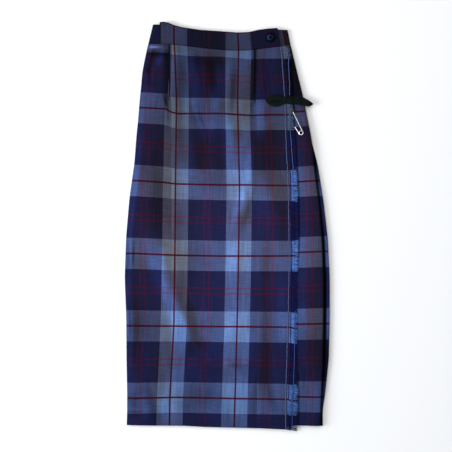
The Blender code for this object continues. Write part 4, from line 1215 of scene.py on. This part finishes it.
# The bow: a black ribbon with a green cast, folded to two pointed loops and drawn together by
# a band of itself round the middle. It sits on the fringe, over the head of the pin.
BOW = (
    # across, upper_drop, lower_drop, thickness
    (83.5, 170.8, 173.5, 1.2), (88, 167, 179, 2.4), (97, 162, 185.5, 3), (108, 160.8, 187.2, 3.4),
    (118, 162.8, 184.5, 3.2), (126, 164.5, 180.5, 3.2), (132.5, 165, 180, 3.6),
    (138.8, 165.2, 180, 3.8), (145, 163.8, 181, 3.6), (156, 163.8, 182.8, 3.2),
    (168.5, 167.2, 185, 3), (178, 172, 187, 2.8), (184, 176.5, 185.2, 2.2), (188.2, 180, 182, 1.2),
)
KNOT_X, KNOT_DROP = 138.8, 172.2
BOW_BASE = 9.2
ribbon = Finish("black_ribbon", {"Roughness": 0.75, "Specular IOR Level": 0.06})
place = ribbon.place()
cast = ribbon.ramp(
    ribbon.noise(place, 90.0),
    (0.3, (0.0016, 0.0026, 0.0028, 1)), (0.75, (0.005, 0.0085, 0.0085, 1)),
)
ribbon.color(cast.outputs["Color"])
ribs = ribbon.add(
    "TexWave", {"Scale": 260.0, "Distortion": 0.6, "Vector": place},
    wave_type="BANDS", bands_direction="X",
)
ribbon.bump(ribs.outputs["Fac"], 0.25, 0.0002)


def ribbon_form(name, points):
    """A closed form of black ribbon over rings of points, one after another across the kilt."""
    count, sides = points.shape[:2]
    number = np.arange(count * sides).reshape(count, sides)
    beside = np.roll(number, -1, axis=1)
    walls = np.stack((number[:-1], beside[:-1], beside[1:], number[1:]), axis=-1)
    ends = [number[0, ::-1].tolist(), number[-1].tolist()]
    faces = walls.reshape(-1, 4).tolist() + ends
    mesh = bpy.data.meshes.new(name)
    mesh.from_pydata((points.reshape(-1, 3) * MM).tolist(), [], faces)
    form = bpy.data.objects.new(name, mesh)
    bpy.context.scene.collection.objects.link(form)
    bpy.context.view_layer.objects.active = form
    form.select_set(True)
    bpy.ops.object.mode_set(mode="EDIT")
    bpy.ops.mesh.select_all(action="SELECT")
    bpy.ops.mesh.normals_make_consistent(inside=False)
    bpy.ops.object.mode_set(mode="OBJECT")
    bpy.ops.object.shade_smooth_by_angle(angle=math.radians(50))
    bpy.ops.object.select_all(action="DESELECT")
    form.data.materials.append(ribbon.material)
    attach(form, "root")
    return form


outline = np.array(BOW)
places = np.linspace(outline[0, 0], outline[-1, 0], 90)
upper, lower, thick = (np.interp(places, outline[:, 0], outline[:, n]) for n in (1, 2, 3))
blur = np.exp(-np.linspace(-1.5, 1.5, 7) ** 2)
blur /= blur.sum()
upper, lower = (
    np.convolve(np.pad(line, 3, mode="edge"), blur, mode="valid") for line in (upper, lower)
)
turns = np.linspace(0.0, 2 * math.pi, 49)[:-1]
aside = -np.cos(turns)[None, :]
drop = ((upper + lower) / 2)[:, None] + ((lower - upper) / 2)[:, None] * aside
from_knot = np.abs(places - KNOT_X)[:, None]
gathers = 0.32 * np.sin(aside * 9.0 + places[:, None] / 60.0) * np.exp(-from_knot / 24.0)
dish = -0.5 * np.exp(-((from_knot - 26) / 14) ** 2) * (1 - aside ** 2)
squash = np.sign(np.sin(turns)) * np.abs(np.sin(turns)) ** 0.6
height = BOW_BASE + thick[:, None] / 2 * (1.0 + squash[None, :])
height = height + np.where(np.sin(turns)[None, :] > 0, gathers + dish, 0.0)
height = height + 0.35 * np.sin(places / 14.0)[:, None] * (from_knot / 50.0)
points = np.stack((np.broadcast_to(places[:, None], drop.shape), TOP - drop, height), axis=-1)
ribbon_bow = ribbon_form("ribbon_bow", points)
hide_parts("bow")

# The knot: the ribbon's own end wrapped once round the middle, with its edges pressed round.
turns = np.linspace(0.0, 2 * math.pi, 41)[:-1]
squash = np.sign(np.sin(turns)) * np.abs(np.sin(turns)) ** 0.7
rings = []
for x, swell in ((134.7, 0.0), (135.1, 0.45), (136.2, 0.8), (KNOT_X, 1.0), (141.3, 0.8),
                 (142.5, 0.45), (142.9, 0.0)):
    drop = KNOT_DROP - (8.8 + 0.9 * swell) * np.cos(turns)
    height = BOW_BASE + 2.3 + (2.3 + 0.6 * swell) * squash + 0.25 * np.sin(turns * 3 + x) * swell
    rings.append(np.stack((x + 0.4 * np.cos(turns) * swell, TOP - drop, height), axis=-1))
points = np.array(rings)
points[..., 2] = np.maximum(points[..., 2], BOW_BASE - 0.1)
ribbon_form("ribbon_knot", points)


# The kilt pin: one bright steel wire, sprung round a coil at its lower end, with a pressed
# cap at its head under the bow. The arm passes through the fringe and the apron's edge.
def pin_metal(name, dark, light, surface):
    """Metal with fine lighter and darker specks."""
    metal = Finish(name, surface)
    specks = metal.noise(metal.place(), 500.0, 4.0)
    metal.color(metal.ramp(specks, (0.3, dark), (0.7, light)).outputs["Color"])
    return metal.material


steel = pin_metal(
    "pin_steel", (0.72, 0.73, 0.75, 1.0), (0.92, 0.93, 0.95, 1.0),
    {"Metallic": 1.0, "Roughness": 0.24},
)
# The cap lies in the bow's shadow: its metal is painted nearly black as shade.
cap_metal_in_painted_shade = pin_metal(
    "pin_cap_in_painted_shade", (0.02, 0.019, 0.02, 1.0), (0.07, 0.066, 0.064, 1.0),
    {"Metallic": 0.6, "Roughness": 0.5},
)
for node_name, metal in (("pin_wire", steel), ("pin_cap", cap_metal_in_painted_shade)):
    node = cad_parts[node_name]
    if not node.material_slots:
        node.data.materials.append(metal)
    for place_on in node.material_slots:
        place_on.material = metal
